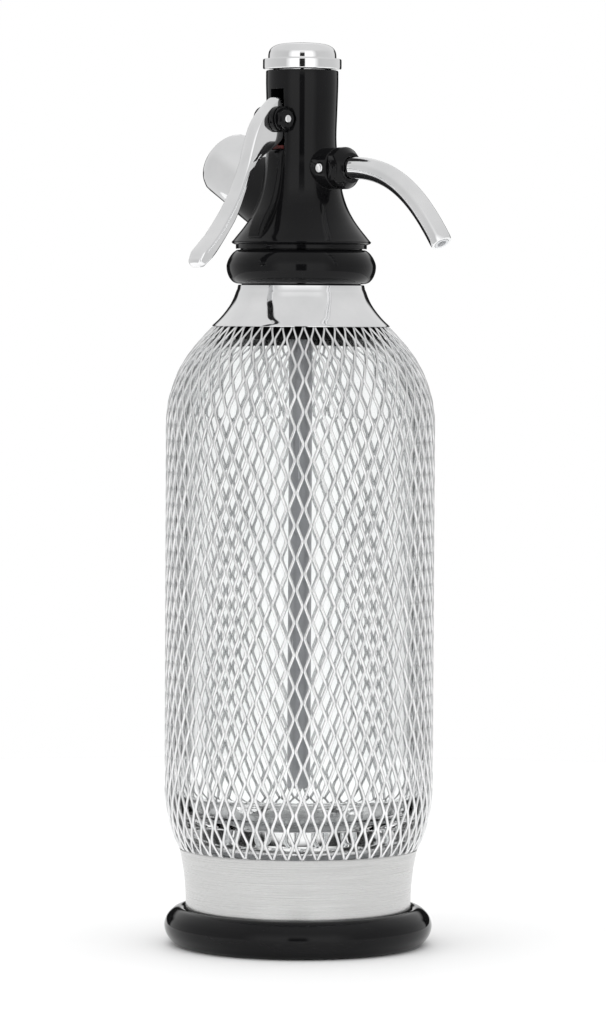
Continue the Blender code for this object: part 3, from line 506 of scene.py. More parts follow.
def make_glass_bottle():
    low, high = span("glass_bottle")
    body = high.x
    neck = 20.0
    mouth = 16.0
    outer = eased([(mouth, high.z, 0), (neck, high.z, 1.2), (neck, 241.6, 3.0), (21.4, 236.8)])
    outer += curve_through(
        [
            (22.2, 235.4),
            (25.6, 231.2),
            (32.0, 226.2),
            (38.0, 219.6),
            (43.0, 212.2),
            (46.2, 204.4),
            (47.8, 196.6),
            (body, 189.0),
        ]
    )
    outer += curve_through(
        [
            (body, 150.0),
            (body, 100.0),
            (body, 60.0),
            (47.6, 51.4),
            (45.6, 44.0),
            (42.6, 39.3),
            (37.6, low.z),
        ]
    )
    outer += [(20.0, low.z), (17.0, low.z + 1.4), (0.0, low.z + 1.8)]
    inner = [(0.0, 47.2), (18.0, 46.4)]
    inner += curve_through(
        [
            (34.0, 46.2),
            (41.0, 49.4),
            (44.3, 54.8),
            (body - 3.0, 62.0),
            (body - 3.0, 100.0),
            (body - 3.0, 150.0),
            (body - 3.0, 189.0),
            (44.6, 198.0),
            (41.9, 207.0),
            (36.4, 216.6),
            (29.6, 223.8),
            (23.4, 228.9),
            (18.6, 235.0),
        ]
    )
    inner += [(mouth + 0.2, 240.4), (mouth, 243.0)]
    obj = turned("glass_bottle_blown", inner + outer, steps=ROUND_STEPS)
    obj = faces_out(obj)
    return on_body(obj, "bottle", "clear_glass", "glass_bottle")


def sleeve_line():
    """The middle of the sleeve's sheet, from under the collar to inside the band.

    The points are evenly spaced, each (radius, z).
    """
    half = 0.5 * STRAND_DEPTH
    radius = span("wire_sleeve")[1].x - half
    line = curve_through(
        [
            (28.9, 231.2),
            (30.8, 229.6),
            (33.3, 227.3),
            (36.9, 223.4),
            (40.5, 219.0),
            (43.3, 214.7),
            (45.5, 210.3),
            (47.0, 206.0),
            (48.3, 201.4),
            (radius, 194.0),
            (radius + 0.02, 184.0),
            (radius, 120.0),
            (radius + 0.02, 66.0),
            (radius, 56.0),
            (48.5, 50.5),
            (46.9, 43.4),
            (44.3, 36.9),
            (42.3, 34.8),
            (41.7, 32.8),
        ],
        per_span=24,
    )
    line = np.array(line)
    travel = np.concatenate([[0.0], np.cumsum(np.linalg.norm(np.diff(line, axis=0), axis=1))])
    return line, travel


def make_sleeve():
    """Expanded metal: strands side by side that sway to and fro, each joined to its neighbours by turns."""
    line, travel = sleeve_line()
    visible_top = np.interp(-228.3, -line[:, 1], travel)
    visible_foot = np.interp(-36.2, -line[:, 1], travel)
    row_length = (visible_foot - visible_top) / MESH_ROWS
    step = row_length / SAMPLES_PER_ROW
    places = np.arange(0.0, travel[-1], step)
    radius = np.interp(places, travel, line[:, 0])
    height = np.interp(places, travel, line[:, 1])
    down = np.stack([np.gradient(radius), np.gradient(height)], axis=1)
    down /= np.linalg.norm(down, axis=1)[:, None]
    sheet_out = np.stack([-down[:, 1], down[:, 0]], axis=1)
    phase = 2 * np.pi * (places - visible_top) / row_length
    sway = np.arcsin(PINCH * np.cos(phase)) / math.asin(PINCH)
    width = STRAND_WIDTH * (radius / radius.max()) ** WIDTH_TAPER
    pitch = np.pi * radius / MESH_COLUMNS
    room = np.maximum(0.5 * (pitch - width * 0.93), 0.05)
    corner_angles = np.radians([22.5 + 45 * i for i in range(8)])
    flat = np.sign(np.cos(corner_angles)) * np.abs(np.cos(corner_angles)) ** STRAND_SQUARENESS
    thick = np.sign(np.sin(corner_angles)) * np.abs(np.sin(corner_angles)) ** STRAND_SQUARENESS
    points = []
    for strand in range(2 * MESH_COLUMNS):
        way = 1 if strand % 2 else -1
        angle = np.pi * strand / MESH_COLUMNS + way * room * sway / radius
        centre = np.stack([radius * np.cos(angle), radius * np.sin(angle), height], axis=1)
        along = np.gradient(centre, axis=0)
        along /= np.linalg.norm(along, axis=1)[:, None]
        out = np.stack(
            [sheet_out[:, 0] * np.cos(angle), sheet_out[:, 0] * np.sin(angle), sheet_out[:, 1]], axis=1
        )
        side = np.cross(along, out)
        side /= np.linalg.norm(side, axis=1)[:, None]
        out = np.cross(side, along)
        tilt = np.radians(STRAND_TILT) * way * np.sin(phase)
        width_way = side * np.cos(tilt)[:, None] + out * np.sin(tilt)[:, None]
        depth_way = out * np.cos(tilt)[:, None] - side * np.sin(tilt)[:, None]
        ring = (
            centre[:, None, :]
            + 0.5 * width[:, None, None] * flat[None, :, None] * width_way[:, None, :]
            + 0.5 * STRAND_DEPTH * thick[None, :, None] * depth_way[:, None, :]
        )
        points.append(ring.reshape(-1, 3))
    rows = len(places)
    faces = []
    for strand in range(2 * MESH_COLUMNS):
        first = strand * rows * 8
        for row in range(rows - 1):
            here = first + row * 8
            for i in range(8):
                j = (i + 1) % 8
                faces.append((here + i, here + j, here + 8 + j, here + 8 + i))
        faces.append(tuple(range(first, first + 8))[::-1])
        last = first + (rows - 1) * 8
        faces.append(tuple(range(last, last + 8)))
    obj = mesh_piece("wire_sleeve_strands", np.vstack(points), faces, sharp=60.0)
    return on_body(faces_out(obj), "bottle", "wire_steel", "wire_sleeve")


# ---------------------------------------------------------------- neck

def make_neck_collar():
    low, high = span("neck_collar")
    rim = high.x
    outer = eased([(22.5, high.z - 0.4), (22.7, high.z, 0.2), (23.3, high.z, 0.5), (23.6, 242.4)])
    outer += curve_through(
        [
            (24.0, 241.6),
            (24.9, 239.2),
            (26.1, 236.8),
            (27.9, 234.2),
            (30.1, 231.6),
            (rim - 0.3, 229.3),
        ]
    )
    outer += [(rim, 228.95), (rim, 228.75), (rim - 0.3, low.z)]
    inner = curve_through(
        [(31.9, 228.9), (29.5, 231.2), (27.2, 233.9), (25.3, 236.7), (24.1, 239.3), (23.2, 241.7)]
    )
    inner += [(22.4, high.z - 1.5)]
    obj = turned("neck_collar_turned", outer + inner, closed=True)
    return on_body(faces_out(obj), "bottle", "chrome", "neck_collar")


def make_neck_bush():
    high = span("neck_bush")[1]
    outer = eased([(20.4, high.z), (22.0, high.z, 0.5), (22.0, 241.4)])
    outer += curve_through(
        [(22.6, 239.8), (24.5, 236.2), (26.3, 233.4), (28.1, 231.2), (31.0, 227.8), (34.7, 224.2)]
    )
    inner = curve_through(
        [(33.5, 224.2), (29.6, 228.2), (26.3, 231.3), (23.2, 234.8), (21.5, 238.0), (20.4, 241.8)]
    )
    obj = turned("neck_bush_turned", outer + inner, closed=True)
    return on_body(faces_out(obj), "bottle", "gloss_black", "neck_bush")


def make_union_ring():
    low, high = span("union_ring")
    widest = high.x
    outer = curve_through(
        [
            (widest - 3.6, high.z - 0.15),
            (widest - 2.3, high.z - 1.2),
            (widest - 1.0, high.z - 3.0),
            (widest - 0.2, high.z - 4.9),
            (widest, high.z - 6.3),
            (widest - 0.25, high.z - 8.3),
            (widest - 1.1, high.z - 10.4),
            (widest - 2.4, high.z - 11.9),
            (widest - 3.6, low.z + 0.1),
        ]
    )
    inner = [(22.4, low.z), (22.4, 253.7), (19.6, 253.7), (19.6, 254.9), (22.8, 254.9), (22.8, high.z)]
    obj = turned("union_ring_turned", outer + inner, closed=True)
    return on_body(faces_out(obj), "union", "gloss_black", "union_ring")


# ---------------------------------------------------------------- head

def head_shell():
    low, high = span("head_body")
    skirt = 25.7
    tube = 13.35
    profile = [(0.0, high.z), (tube - 0.5, high.z), (tube - 0.15, high.z - 0.15), (tube, high.z - 0.5)]
    profile += curve_through(
        [
            (tube, 318.0),
            (13.2, 312.6),
            (13.0, 306.9),
            (12.75, 298.5),
            (13.1, 292.5),
            (13.65, 288.5),
            (14.3, 283.4),
            (15.1, 278.4),
            (16.2, 274.6),
            (17.6, 271.2),
            (19.5, 267.8),
            (21.7, 264.7),
            (24.2, 261.6),
        ]
    )
    profile += [(skirt - 0.5, 260.35), (skirt, 259.85), (skirt, 259.45), (skirt - 0.3, 259.1)]
    profile += [(24.9, 258.85), (24.2, 258.6), (24.2, 257.2), (22.5, 257.2), (22.5, 255.2)]
    profile += [(19.2, 255.2), (19.2, 253.7), (18.1, 253.7), (18.1, 251.9), (19.2, 251.9)]
    profile += [(19.2, low.z), (0.0, low.z)]
    return turned("head_body_moulded", profile, steps=144)


def along_x(x, z):
    return Matrix.Translation((x, 0.0, z)) @ Matrix.Rotation(math.radians(90), 4, "Y")


def across(y, z, way):
    return Matrix.Translation((0.0, y, z)) @ Matrix.Rotation(math.radians(90 * way), 4, "Y")


def charger_axis():
    """The charger holder's axis, from where it meets the head's own."""
    return Matrix.Translation((0.0, 0.0, CHARGER_HEIGHT)) @ Matrix.Rotation(math.radians(30 - 90), 4, "Y")


def pivot_place():
    pin = span("lever_pin")
    return 0.5 * (pin[0].y + pin[1].y), 0.5 * (pin[0].z + pin[1].z)


def spout_height():
    nut = span("spout_nut")
    return 0.5 * (nut[0].z + nut[1].z)


def rounded_rod(name, radius, low, high, round_low=0.0, round_high=0.0, steps=96, matrix=None):
    corners = [(0.0, high), (radius, high, round_high), (radius, low, round_low), (0.0, low)]
    return faces_out(turned(name, eased(corners), steps=steps, matrix=matrix))


def make_head():
    head = faces_out(head_shell())
    pivot_y, pivot_z = pivot_place()
    spout_z = spout_height()
    boss = rounded_rod("boss", 7.6, 8.0, 19.5, 0.0, 0.7, matrix=along_x(0.0, spout_z))
    spigot = rounded_rod("spigot", 5.2, 8.0, 21.8, 0.0, 0.4, matrix=along_x(0.0, spout_z))
    socket = rounded_rod("socket", 12.9, 8.0, SOCKET_END, 0.0, 0.5, steps=144, matrix=charger_axis())
    ears = rounded_rod("ears", 4.8, -5.05, 5.05, 0.3, 0.3, matrix=across(pivot_y, pivot_z, 1))
    rib_line = curve_through(
        [
            (-14.7, 292.0),
            (-15.2, 286.0),
            (-16.1, 281.2),
            (-17.4, 276.9),
            (-19.2, 273.0),
            (-21.6, 269.4),
            (-23.7, 265.6),
            (-24.9, 262.0),
        ],
        per_span=4,
    )
    rib_outline = [(-10.0, 293.7), (-13.8, 293.7)] + rib_line + [(-24.9, 260.7), (-10.0, 260.7)]
    rib = settled(faces_out(extruded("rib", rib_outline, 3.5, 1.5, 4)))
    combined(head, [boss, spigot, socket, ears, rib], "UNION")
    tube_bore = [
        (0.0, 325.0),
        (10.9, 325.0),
        (10.9, 321.5),
        (9.4, 321.5),
        (9.4, 291.5),
        (5.5, 291.5),
        (5.5, 284.2),
        (1.8, 284.2),
        (1.8, 280.4),
        (0.0, 280.4),
    ]
    charger_bore = [
        (0.0, SOCKET_END + 2.0),
        (11.3, SOCKET_END + 2.0),
        (11.3, 17.7),
        (9.5, 17.7),
        (9.5, -1.5),
        (4.7, -8.5),
        (4.7, -19.9),
        (0.0, -19.9),
    ]
    cutters = [
        faces_out(turned("tube_bore", tube_bore, steps=96)),
        faces_out(turned("charger_bore", charger_bore, steps=96, matrix=charger_axis())),
        rounded_rod("spout_bore", TUBE_RADIUS + 0.3, 13.8, 30.0, matrix=along_x(0.0, spout_z)),
    ]
    for way in (1, -1):
        matrix = across(pivot_y, pivot_z, way)
        cutters.append(rounded_rod(f"nut_seat_{way}", 5.0, 5.1, 12.0, matrix=matrix))
    combined(head, cutters, "DIFFERENCE")
    slot_outline = [(-24.0, 293.5), (-5.0, 293.5), (-5.0, 315.7), (-24.0, 315.7)]
    lock = Matrix.Translation((16.4, 0.0, spout_z)) @ Matrix.Rotation(math.radians(90), 4, "X")
    cutters = [
        faces_out(extruded("lever_slot", slot_outline, 3.3)),
        rounded_rod("pivot_hole", 1.8, -9.0, 9.0, matrix=across(pivot_y, pivot_z, 1)),
        rounded_rod("lock_hole", 2.05, 3.5, 12.0, matrix=lock),
        rounded_rod("riser_hole", 5.1, 240.0, 253.4),
    ]
    combined(head, cutters, "DIFFERENCE")
    return on_body(head, "head", "gloss_black", "head_body")


def make_top_cap():
    low, high = span("top_cap")
    flange = high.x
    shelf = high.z - 6.0
    dome = curve_through(
        [
            (0.0, high.z),
            (3.4, high.z - 0.07),
            (6.4, high.z - 0.27),
            (9.2, high.z - 0.75),
            (11.1, high.z - 1.7),
            (12.1, high.z - 2.9),
            (12.5, high.z - 4.2),
            (12.6, shelf + 0.3),
        ]
    )
    rest = eased(
        [
            (12.75, shelf),
            (flange, shelf, 0.6),
            (flange, 323.1, 0.7),
            (9.1, 323.1),
            (9.1, low.z, 0.3),
            (4.6, low.z),
            (4.6, 326.4),
            (0.0, 326.4),
        ]
    )
    obj = turned("top_cap_turned", dome + rest)
    return on_body(faces_out(obj), "cap", "chrome", "top_cap")


def make_charger_holder():
    end = HOLDER_END
    radius = 12.5
    crown = curve_through(
        [
            (0.0, end),
            (4.5, end - 0.05),
            (8.4, end - 0.15),
            (10.6, end - 0.6),
            (11.8, end - 1.6),
            (radius, end - 3.2),
        ]
    )
    rest = eased(
        [
            (radius, end - 4.5),
            (radius, SOCKET_END + 0.3, 0.4),
            (11.0, SOCKET_END + 0.3),
            (11.0, 18.0, 0.4),
            (9.5, 18.0),
            (9.5, 41.6, 2.0),
            (6.6, 45.0, 2.0),
            (0.0, 45.4),
        ]
    )
    obj = turned("charger_holder_turned", crown + rest, matrix=charger_axis())
    return on_body(faces_out(obj), "holder", "chrome", "charger_holder")


# ---------------------------------------------------------------- lever

def make_lever():
    """A cast lever: stations down its length join an outer edge to an inner edge, with rounded corners."""
    outer = [
        (-14.0, 312.45),
        (-15.2, 312.1),
        (-17.6, 310.1),
        (-20.9, 307.2),
        (-23.5, 304.2),
        (-25.4, 301.0),
        (-27.0, 297.2),
        (-28.4, 293.0),
        (-29.8, 288.6),
        (-31.3, 284.9),
        (-33.0, 281.3),
        (-35.2, 276.9),
        (-38.8, 271.3),
        (-42.5, 266.4),
        (-46.3, 261.9),
        (-50.0, 258.4),
        (-52.8, 255.9),
        (-54.2, 253.5),
    ]
    inner = [
        (-13.2, 311.9),
        (-12.8, 310.4),
        (-12.2, 308.3),
        (-11.4, 305.4),
        (-10.6, 302.2),
        (-11.2, 299.0),
        (-13.2, 296.4),
        (-16.8, 294.1),
        (-21.8, 291.1),
        (-25.4, 288.4),
        (-28.0, 285.2),
        (-30.3, 280.2),
        (-33.6, 272.8),
        (-36.5, 267.6),
        (-40.0, 263.2),
        (-43.9, 258.5),
        (-47.9, 254.1),
        (-51.5, 250.9),
    ]
    widths = [4.6, 5.6, 6.0, 6.0, 6.0, 6.0, 5.9, 5.8, 5.7, 5.6, 5.7, 6.0, 6.4, 6.7, 7.1, 7.4, 7.6, 6.8]
    outer = np.array(curve_through(outer, 6))
    inner = np.array(curve_through(inner, 6))
    width = np.array(curve_through([(value, 0.0) for value in widths], 6))[:, 0]
    tip_length = 2.1
    ahead = outer[-1] + inner[-1] - outer[-2] - inner[-2]
    ahead /= np.linalg.norm(ahead)
    middle = 0.5 * (outer[-1] + inner[-1])
    reach = 0.5 * (outer[-1] - inner[-1])
    for turn in np.radians([20, 40, 58, 72, 82]):
        shrink = math.cos(turn) ** 0.75
        place = middle + ahead * tip_length * math.sin(turn)
        outer = np.vstack([outer, place + reach * shrink])
        inner = np.vstack([inner, place - reach * shrink])
        width = np.append(width, widths[-1] * (0.35 + 0.65 * shrink))
    corner_steps = 5
    points = []
    for edge, back, wide in zip(outer, inner, width):
        deep = np.linalg.norm(edge - back)
        half = 0.5 * wide
        soft = min(0.9, 0.3 * deep, 0.45 * half * 2)
        crown = 0.5
        section = []
        for centre_x, centre_d, start in (
            (half - soft, deep - soft, 0),
            (-half + soft, deep - soft, 90),
            (-half + soft, soft, 180),
            (half - soft, soft, 270),
        ):
            for step in range(corner_steps):
                angle = math.radians(start + 90 * step / (corner_steps - 1))
                section.append((centre_x + soft * math.cos(angle), centre_d + soft * math.sin(angle)))
            if start == 0:
                for share in (0.5, 0.0, -0.5):
                    section.append((share * half, deep + crown * (1 - share**2) * 0.6))
        direction = (edge - back) / deep
        for x, distance in section:
            y, z = back + direction * distance
            points.append((x, y, z))
    count = len(points) // len(outer)
    faces = []
    for row in range(len(outer) - 1):
        for i in range(count):
            j = (i + 1) % count
            here = row * count
            faces.append((here + i, here + j, here + count + j, here + count + i))
    faces.append(tuple(range(count)))
    last = (len(outer) - 1) * count
    faces.append(tuple(range(last, last + count)))
    blade = faces_out(mesh_piece("lever_cast", points, faces))
    bevel = blade.modifiers.new("Round ends", "BEVEL")
    bevel.width = 0.45 * MM
    bevel.segments = 3
    bevel.limit_method = "ANGLE"
    bevel.angle_limit = math.radians(40)
    settled(blade)
    pivot_y, pivot_z = pivot_place()
    arm_outline = [
        (-13.0, 297.0),
        (-9.5, 298.3),
        (-6.5, 298.6),
        (2.6, 298.6),
        (2.6, 302.2),
        (-5.0, 302.2),
        (-9.5, 304.8),
        (-14.0, 304.8),
    ]
    arm = settled(faces_out(extruded("arm", arm_outline, 2.9, 0.5, 3)))
    combined(blade, [arm], "UNION")
    fork_outline = [(-3.0, 297.0), (6.0, 297.0), (6.0, 305.0), (-3.0, 305.0)]
    hole = rounded_rod("lever_hole", 1.8, -5.0, 5.0, matrix=across(pivot_y, pivot_z, 1))
    combined(blade, [faces_out(extruded("fork", fork_outline, 2.0)), hole], "DIFFERENCE")
    return on_body(blade, "lever", "chrome", "lever")


def make_pivot():
    """The pin with its low head on the left, and a washer and nut on the right."""
    pivot_y, pivot_z = pivot_place()
    low, high = span("lever_pin")
    matrix = across(pivot_y, pivot_z, 1)
    corners = [
        (0.0, high.x),
        (1.5, high.x - 0.15, 0.5),
        (1.5, -5.35),
        (3.0, -5.35, 0.2),
        (3.0, low.x + 0.05, 0.5),
        (0.0, low.x),
    ]
    obj = faces_out(turned("lever_pin_turned", eased(corners), SMALL_STEPS, matrix=matrix))
    on_body(obj, "head", "chrome", "lever_pin")
    rim = eased([(1.8, 6.05), (4.4, 6.05, 0.2), (4.4, 5.35, 0.2), (1.8, 5.35)])
    obj = faces_out(turned("pivot_washer_turned", rim, 96, closed=True, matrix=matrix))
    on_body(obj, "head", "gloss_black", "pivot_washer")
    body = [(0.0, 8.15), (4.1, 8.15), (4.1, 6.35), (0.0, 6.35)]
    nut = faces_out(turned("pivot_nut_turned", body, 6, matrix=matrix))
    dish = [(0.0, 8.4), (2.9, 8.4), (4.2, 7.1), (4.2, 5.0), (0.0, 5.0)]
    combined(nut, [faces_out(turned("dish", dish, 96, matrix=matrix))], "INTERSECT")
    hole = rounded_rod("hole", 1.7, 5.0, 9.0, matrix=matrix)
    combined(nut, [hole], "DIFFERENCE")
    on_body(nut, "head", "gloss_black", "pivot_nut")


# ---------------------------------------------------------------- spout

def bezier(corners, count):
    made = []
    for i in range(count):
        t = i / (count - 1)
        weights = ((1 - t) ** 3, 3 * t * (1 - t) ** 2, 3 * t * t * (1 - t), t**3)
        made.append(
            (
                sum(weight * corner[0] for weight, corner in zip(weights, corners)),
                sum(weight * corner[1] for weight, corner in zip(weights, corners)),
            )
        )
    return made


def make_spout():
    z = spout_height()
    start = span("spout_tube")[0].x
    outside = TUBE_RADIUS
    bend = bezier(((26.0, z), (44.6, z), (57.6, z - 8.1), (71.0, z - 27.7)), 60)
    straight = [
        (start, outside),
        (22.05, outside),
        (22.1, 5.2),
        (22.85, 5.2),
        (22.9, outside),
        (24.5, outside),
    ]
    path = [(x, z) for x, radius in straight] + bend
    radii = [radius for x, radius in straight] + [outside] * len(bend)
    radii[-1] = outside - 0.25
    radii[-2] = outside - 0.02
    obj = faces_out(swept("spout_tube_bent", path, radii, 2.75))
    on_body(obj, "head", "chrome", "spout_tube")
    liner = bend[-10:]
    ahead = Vector(bend[-1]) - Vector(bend[-2])
    tip = Vector(bend[-1]) + ahead.normalized() * 0.15
    liner = liner + [tuple(tip)]
    obj = faces_out(swept("spout_liner_moulded", liner, [2.6] * len(liner), 1.75))
    on_body(obj, "head", "pale_plastic", "spout_liner")


def make_spout_nut():
    z = spout_height()
    corners = [
        (TUBE_RADIUS + 0.3, 25.7),
        (5.5, 25.7, 0.3),
        (7.7, 22.9, 0.5),
        (7.7, 19.8, 0.4),
        (5.5, 19.8),
        (5.5, 23.3),
        (TUBE_RADIUS + 0.3, 23.3),
    ]
    nut = faces_out(turned("spout_nut_turned", eased(corners), 144, closed=True, matrix=along_x(0.0, z)))
    cutters = []
    for way in (-1, 1):
        outline = [(6.3 * way, 270.0), (12.0 * way, 270.0), (12.0 * way, 300.0), (6.3 * way, 300.0)]
        cutters.append(faces_out(extruded(f"flat_{way}", outline, 7.5, centre=22.5)))
    combined(nut, cutters, "DIFFERENCE")
    on_body(nut, "head", "gloss_black", "spout_nut")
    lock = Matrix.Translation((16.4, 0.0, z)) @ Matrix.Rotation(math.radians(90), 4, "X")
    pin = rounded_rod("spout_lock_pin_turned", 1.75, 4.4, 7.9, 0.0, 0.4, SMALL_STEPS, matrix=lock)
    on_body(pin, "head", "chrome", "spout_lock_pin")


# ---------------------------------------------------------------- inside

def make_riser():
    low, high = span("riser_tube")
    corners = [
        (2.7, high.z),
        (4.3, high.z, 0.2),
        (4.3, low.z, 0.3),
        (2.7, low.z, 0.3),
    ]
    obj = faces_out(turned("riser_tube_drawn", eased(corners), SMALL_STEPS, closed=True))
    on_body(obj, "head", "grey_tube", "riser_tube")


def dress_frame():
    """The CAD nodes that stay in view take their finish from the same materials."""
    slot_of = {row["node"]: row["material_slot"] for row in frame["record"]["subparts"]}
    for name, node in frame["nodes"].items():
        for material_slot in node.material_slots:
            material_slot.material = materials[slot_of[name]]


# ---------------------------------------------------------------- studio

def make_floor():
    """A pale disc, lit until it merges with the white behind it."""
    steps = 128
    mesh = bpy.data.meshes.new("floor")
    corners = []
    for step in range(steps):
        angle = 2 * math.pi * step / steps
        corners.append((FLOOR_RADIUS * math.cos(angle), FLOOR_RADIUS * math.sin(angle), 0.0))
    mesh.from_pydata(corners, [], [tuple(range(steps))])
    floor = bpy.data.objects.new("floor", mesh)
    bpy.context.scene.collection.objects.link(floor)
    material, tree, shader = new_material("floor", (0.93, 0.93, 0.93), 0.0, 0.6)
    tree.links.new(
        tinted(tree, noise(tree, 3.0), (0.925, 0.925, 0.925), (0.94, 0.94, 0.94)),
        shader.inputs["Base Color"],
    )
    shader.inputs["Specular IOR Level"].default_value = 0.2
    mesh.materials.append(material)


def math_node(tree, operation, first, second=None):
    node = tree.nodes.new("ShaderNodeMath")
    node.operation = operation
    for i, value in enumerate((first, second)):
        if value is None:
            continue
        if isinstance(value, (int, float)):
            node.inputs[i].default_value = value
        else:
            tree.links.new(value, node.inputs[i])
    return node.outputs[0]


def level_ramp(tree, value, stops):
    """A grey level read off (position, level) stops, with the position in degrees out of 180."""
    ramp = tree.nodes.new("ShaderNodeValToRGB")
    elements = ramp.color_ramp.elements
    elements[0].position = 0.0
    elements[1].position = 1.0
    elements[0].color = (*[stops[0][1]] * 3, 1.0)
    elements[1].color = (*[stops[-1][1]] * 3, 1.0)
    for degrees, level in stops[1:-1]:
        elements.new(degrees / 180.0).color = (level, level, level, 1.0)
    tree.links.new(value, ramp.inputs["Fac"])
    return ramp.outputs["Color"]


def mixed(tree, first, second, factor):
    node = tree.nodes.new("ShaderNodeMix")
    node.data_type = "RGBA"
    inputs = [socket for socket in node.inputs if socket.type == "RGBA"]
    for socket, value in zip(inputs, (first, second)):
        if isinstance(value, float):
            socket.default_value = (value, value, value, 1.0)
        else:
            tree.links.new(value, socket)
    tree.links.new(factor, node.inputs["Factor"])
    return [socket for socket in node.outputs if socket.type == "RGBA"][0]


def make_tent():
    """White behind everything; reflections see a pale tent, dark at the camera and round the white."""
    world = bpy.data.worlds.new("tent")
    bpy.context.scene.world = world
    world.use_nodes = True
    tree = world.node_tree
    background = tree.nodes["Background"]
    coordinates = tree.nodes.new("ShaderNodeTexCoord")
    rotate = tree.nodes.new("ShaderNodeMapping")
    rotate.vector_type = "POINT"
    rotate.inputs["Rotation"].default_value = (0.0, 0.0, math.radians(-CAMERA_AZIMUTH))
    tree.links.new(coordinates.outputs["Generated"], rotate.inputs["Vector"])
    parts = tree.nodes.new("ShaderNodeSeparateXYZ")
    tree.links.new(rotate.outputs["Vector"], parts.inputs["Vector"])
    # With the camera's azimuth turned away, -Y is towards the camera and +Y is straight ahead of it.
    sideways = math_node(tree, "ABSOLUTE", parts.outputs["X"])
    back = math_node(tree, "MULTIPLY", parts.outputs["Y"], -1.0)
    around = math_node(tree, "DIVIDE", math_node(tree, "ARCTAN2", sideways, back), math.pi)
    tent = level_ramp(
        tree,
        around,
        [
            (0.0, BESIDE_LEVEL),
            (34.0, BESIDE_LEVEL * 0.95),
            (50.0, TENT_LEVEL * 0.88),
            (100.0, TENT_LEVEL * 0.95),
            (150.0, TENT_LEVEL * 1.1),
            (172.0, TENT_LEVEL * 1.1),
            (178.0, 1.0),
            (180.0, 1.0),
        ],
    )
    overhead = tree.nodes.new("ShaderNodeMapRange")
    overhead.inputs["From Min"].default_value = OVERHEAD_START
    overhead.inputs["From Max"].default_value = OVERHEAD_END
    tree.links.new(parts.outputs["Z"], overhead.inputs["Value"])
    tent = mixed(tree, tent, OVERHEAD_LEVEL, overhead.outputs["Result"])
    half = GAP_HALF_WIDTH
    gap = level_ramp(tree, around, [(0.0, 1.0), (half - 1.0, 1.0), (half + 1.5, 0.0), (180.0, 0.0)])
    fade = tree.nodes.new("ShaderNodeMapRange")
    fade.inputs["From Min"].default_value = GAP_FADE_START
    fade.inputs["From Max"].default_value = GAP_FADE_END
    fade.inputs["To Min"].default_value = 1.0
    fade.inputs["To Max"].default_value = 0.0
    tree.links.new(parts.outputs["Z"], fade.inputs["Value"])
    slot = math_node(tree, "MULTIPLY", gap, fade.outputs["Result"])
    tent = mixed(tree, tent, GAP_LEVEL, slot)
    ahead = math_node(tree, "DIVIDE", math_node(tree, "ARCCOSINE", parts.outputs["Y"]), math.pi)
    edge = level_ramp(
        tree,
        ahead,
        [
            (0.0, 0.0),
            (EDGE_START - 1.0, 0.0),
            (EDGE_START + 1.0, 1.0),
            (EDGE_END - 2.0, 1.0),
            (EDGE_END + 2.0, 0.0),
            (180.0, 0.0),
        ],
    )
    rise = tree.nodes.new("ShaderNodeMapRange")
    rise.inputs["From Min"].default_value = EDGE_RISE
    rise.inputs["From Max"].default_value = EDGE_RISE + EDGE_FADE
    rise.inputs["To Min"].default_value = 1.0
    rise.inputs["To Max"].default_value = 0.0
    tree.links.new(math_node(tree, "ABSOLUTE", parts.outputs["Z"]), rise.inputs["Value"])
    dark = math_node(tree, "MULTIPLY", edge, rise.outputs["Result"])
    tent = mixed(tree, tent, EDGE_LEVEL, dark)
    path = tree.nodes.new("ShaderNodeLightPath")
    tree.links.new(mixed(tree, 1.0, tent, path.outputs["Is Glossy Ray"]), background.inputs["Color"])
    extra = math_node(tree, "MULTIPLY", path.outputs["Is Diffuse Ray"], DIFFUSE_EXTRA)
    tree.links.new(math_node(tree, "ADD", extra, 1.0), background.inputs["Strength"])


def area_light(name, place, aim, width, height, power):
    data = bpy.data.lights.new(name, "AREA")
    data.shape = "RECTANGLE"
    data.size = width
    data.size_y = height
    data.energy = power
    light = bpy.data.objects.new(name, data)
    bpy.context.scene.collection.objects.link(light)
    light.location = place
    light.visible_glossy = False
    light.rotation_mode = "QUATERNION"
    light.rotation_quaternion = (Vector(aim) - Vector(place)).to_track_quat("-Z", "Y")
    return light


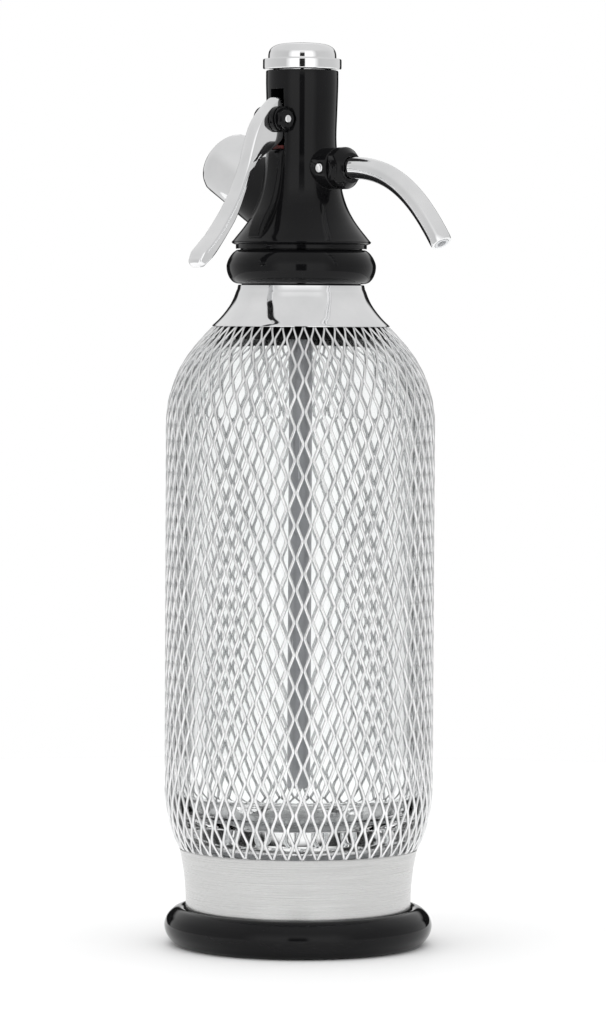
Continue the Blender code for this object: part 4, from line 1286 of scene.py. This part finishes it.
def make_lights():
    azimuth = math.radians(CAMERA_AZIMUTH)
    towards = Vector((math.sin(azimuth), -math.cos(azimuth), 0.0))
    right = Vector((math.cos(azimuth), math.sin(azimuth), 0.0))
    above = towards * 0.1 + Vector((0, 0, 1.9))
    area_light("overhead", above, (0, 0, 0), 1.6, 1.6, OVERHEAD_POWER)
    beside = towards * 0.9 - right * 1.3 + Vector((0, 0, 0.9))
    area_light("left_box", beside, (0, 0, 0.15), 0.7, 1.2, LEFT_BOX_POWER)


def make_camera():
    azimuth = math.radians(CAMERA_AZIMUTH)
    towards = Vector((math.sin(azimuth), -math.cos(azimuth), 0.0))
    right = Vector((math.cos(azimuth), math.sin(azimuth), 0.0))
    place = towards * CAMERA_DISTANCE + Vector((0.0, 0.0, CAMERA_HEIGHT))
    drop = CAMERA_DISTANCE * math.tan(math.radians(CAMERA_PITCH))
    target = Vector((0.0, 0.0, CAMERA_HEIGHT - drop)) + right * CAMERA_ASIDE
    data = bpy.data.cameras.new("camera")
    data.lens = CAMERA_LENS
    data.sensor_width = 36.0
    data.clip_start = 0.05
    camera = bpy.data.objects.new("camera", data)
    bpy.context.scene.collection.objects.link(camera)
    camera.location = place
    camera.rotation_mode = "QUATERNION"
    roll = Quaternion((0.0, 0.0, 1.0), math.radians(CAMERA_ROLL))
    camera.rotation_quaternion = (target - place).to_track_quat("-Z", "Y") @ roll
    bpy.context.scene.camera = camera


with open("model.json") as file:
    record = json.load(file)
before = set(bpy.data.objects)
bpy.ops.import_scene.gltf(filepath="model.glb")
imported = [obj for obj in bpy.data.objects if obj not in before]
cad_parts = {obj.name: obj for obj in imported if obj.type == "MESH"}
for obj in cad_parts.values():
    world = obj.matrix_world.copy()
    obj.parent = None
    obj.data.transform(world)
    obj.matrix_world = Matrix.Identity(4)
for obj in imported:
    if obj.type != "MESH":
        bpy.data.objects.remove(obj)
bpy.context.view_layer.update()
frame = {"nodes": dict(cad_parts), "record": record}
bpy.context.scene.view_settings.view_transform = "Standard"
materials = make_materials()
dress_frame()
make_base_ring()
make_base_band()
make_glass_bottle()
make_sleeve()
make_neck_collar()
make_neck_bush()
make_union_ring()
make_head()
make_top_cap()
make_charger_holder()
make_lever()
make_pivot()
make_spout()
make_spout_nut()
make_riser()
make_floor()
make_tent()
make_lights()
make_camera()
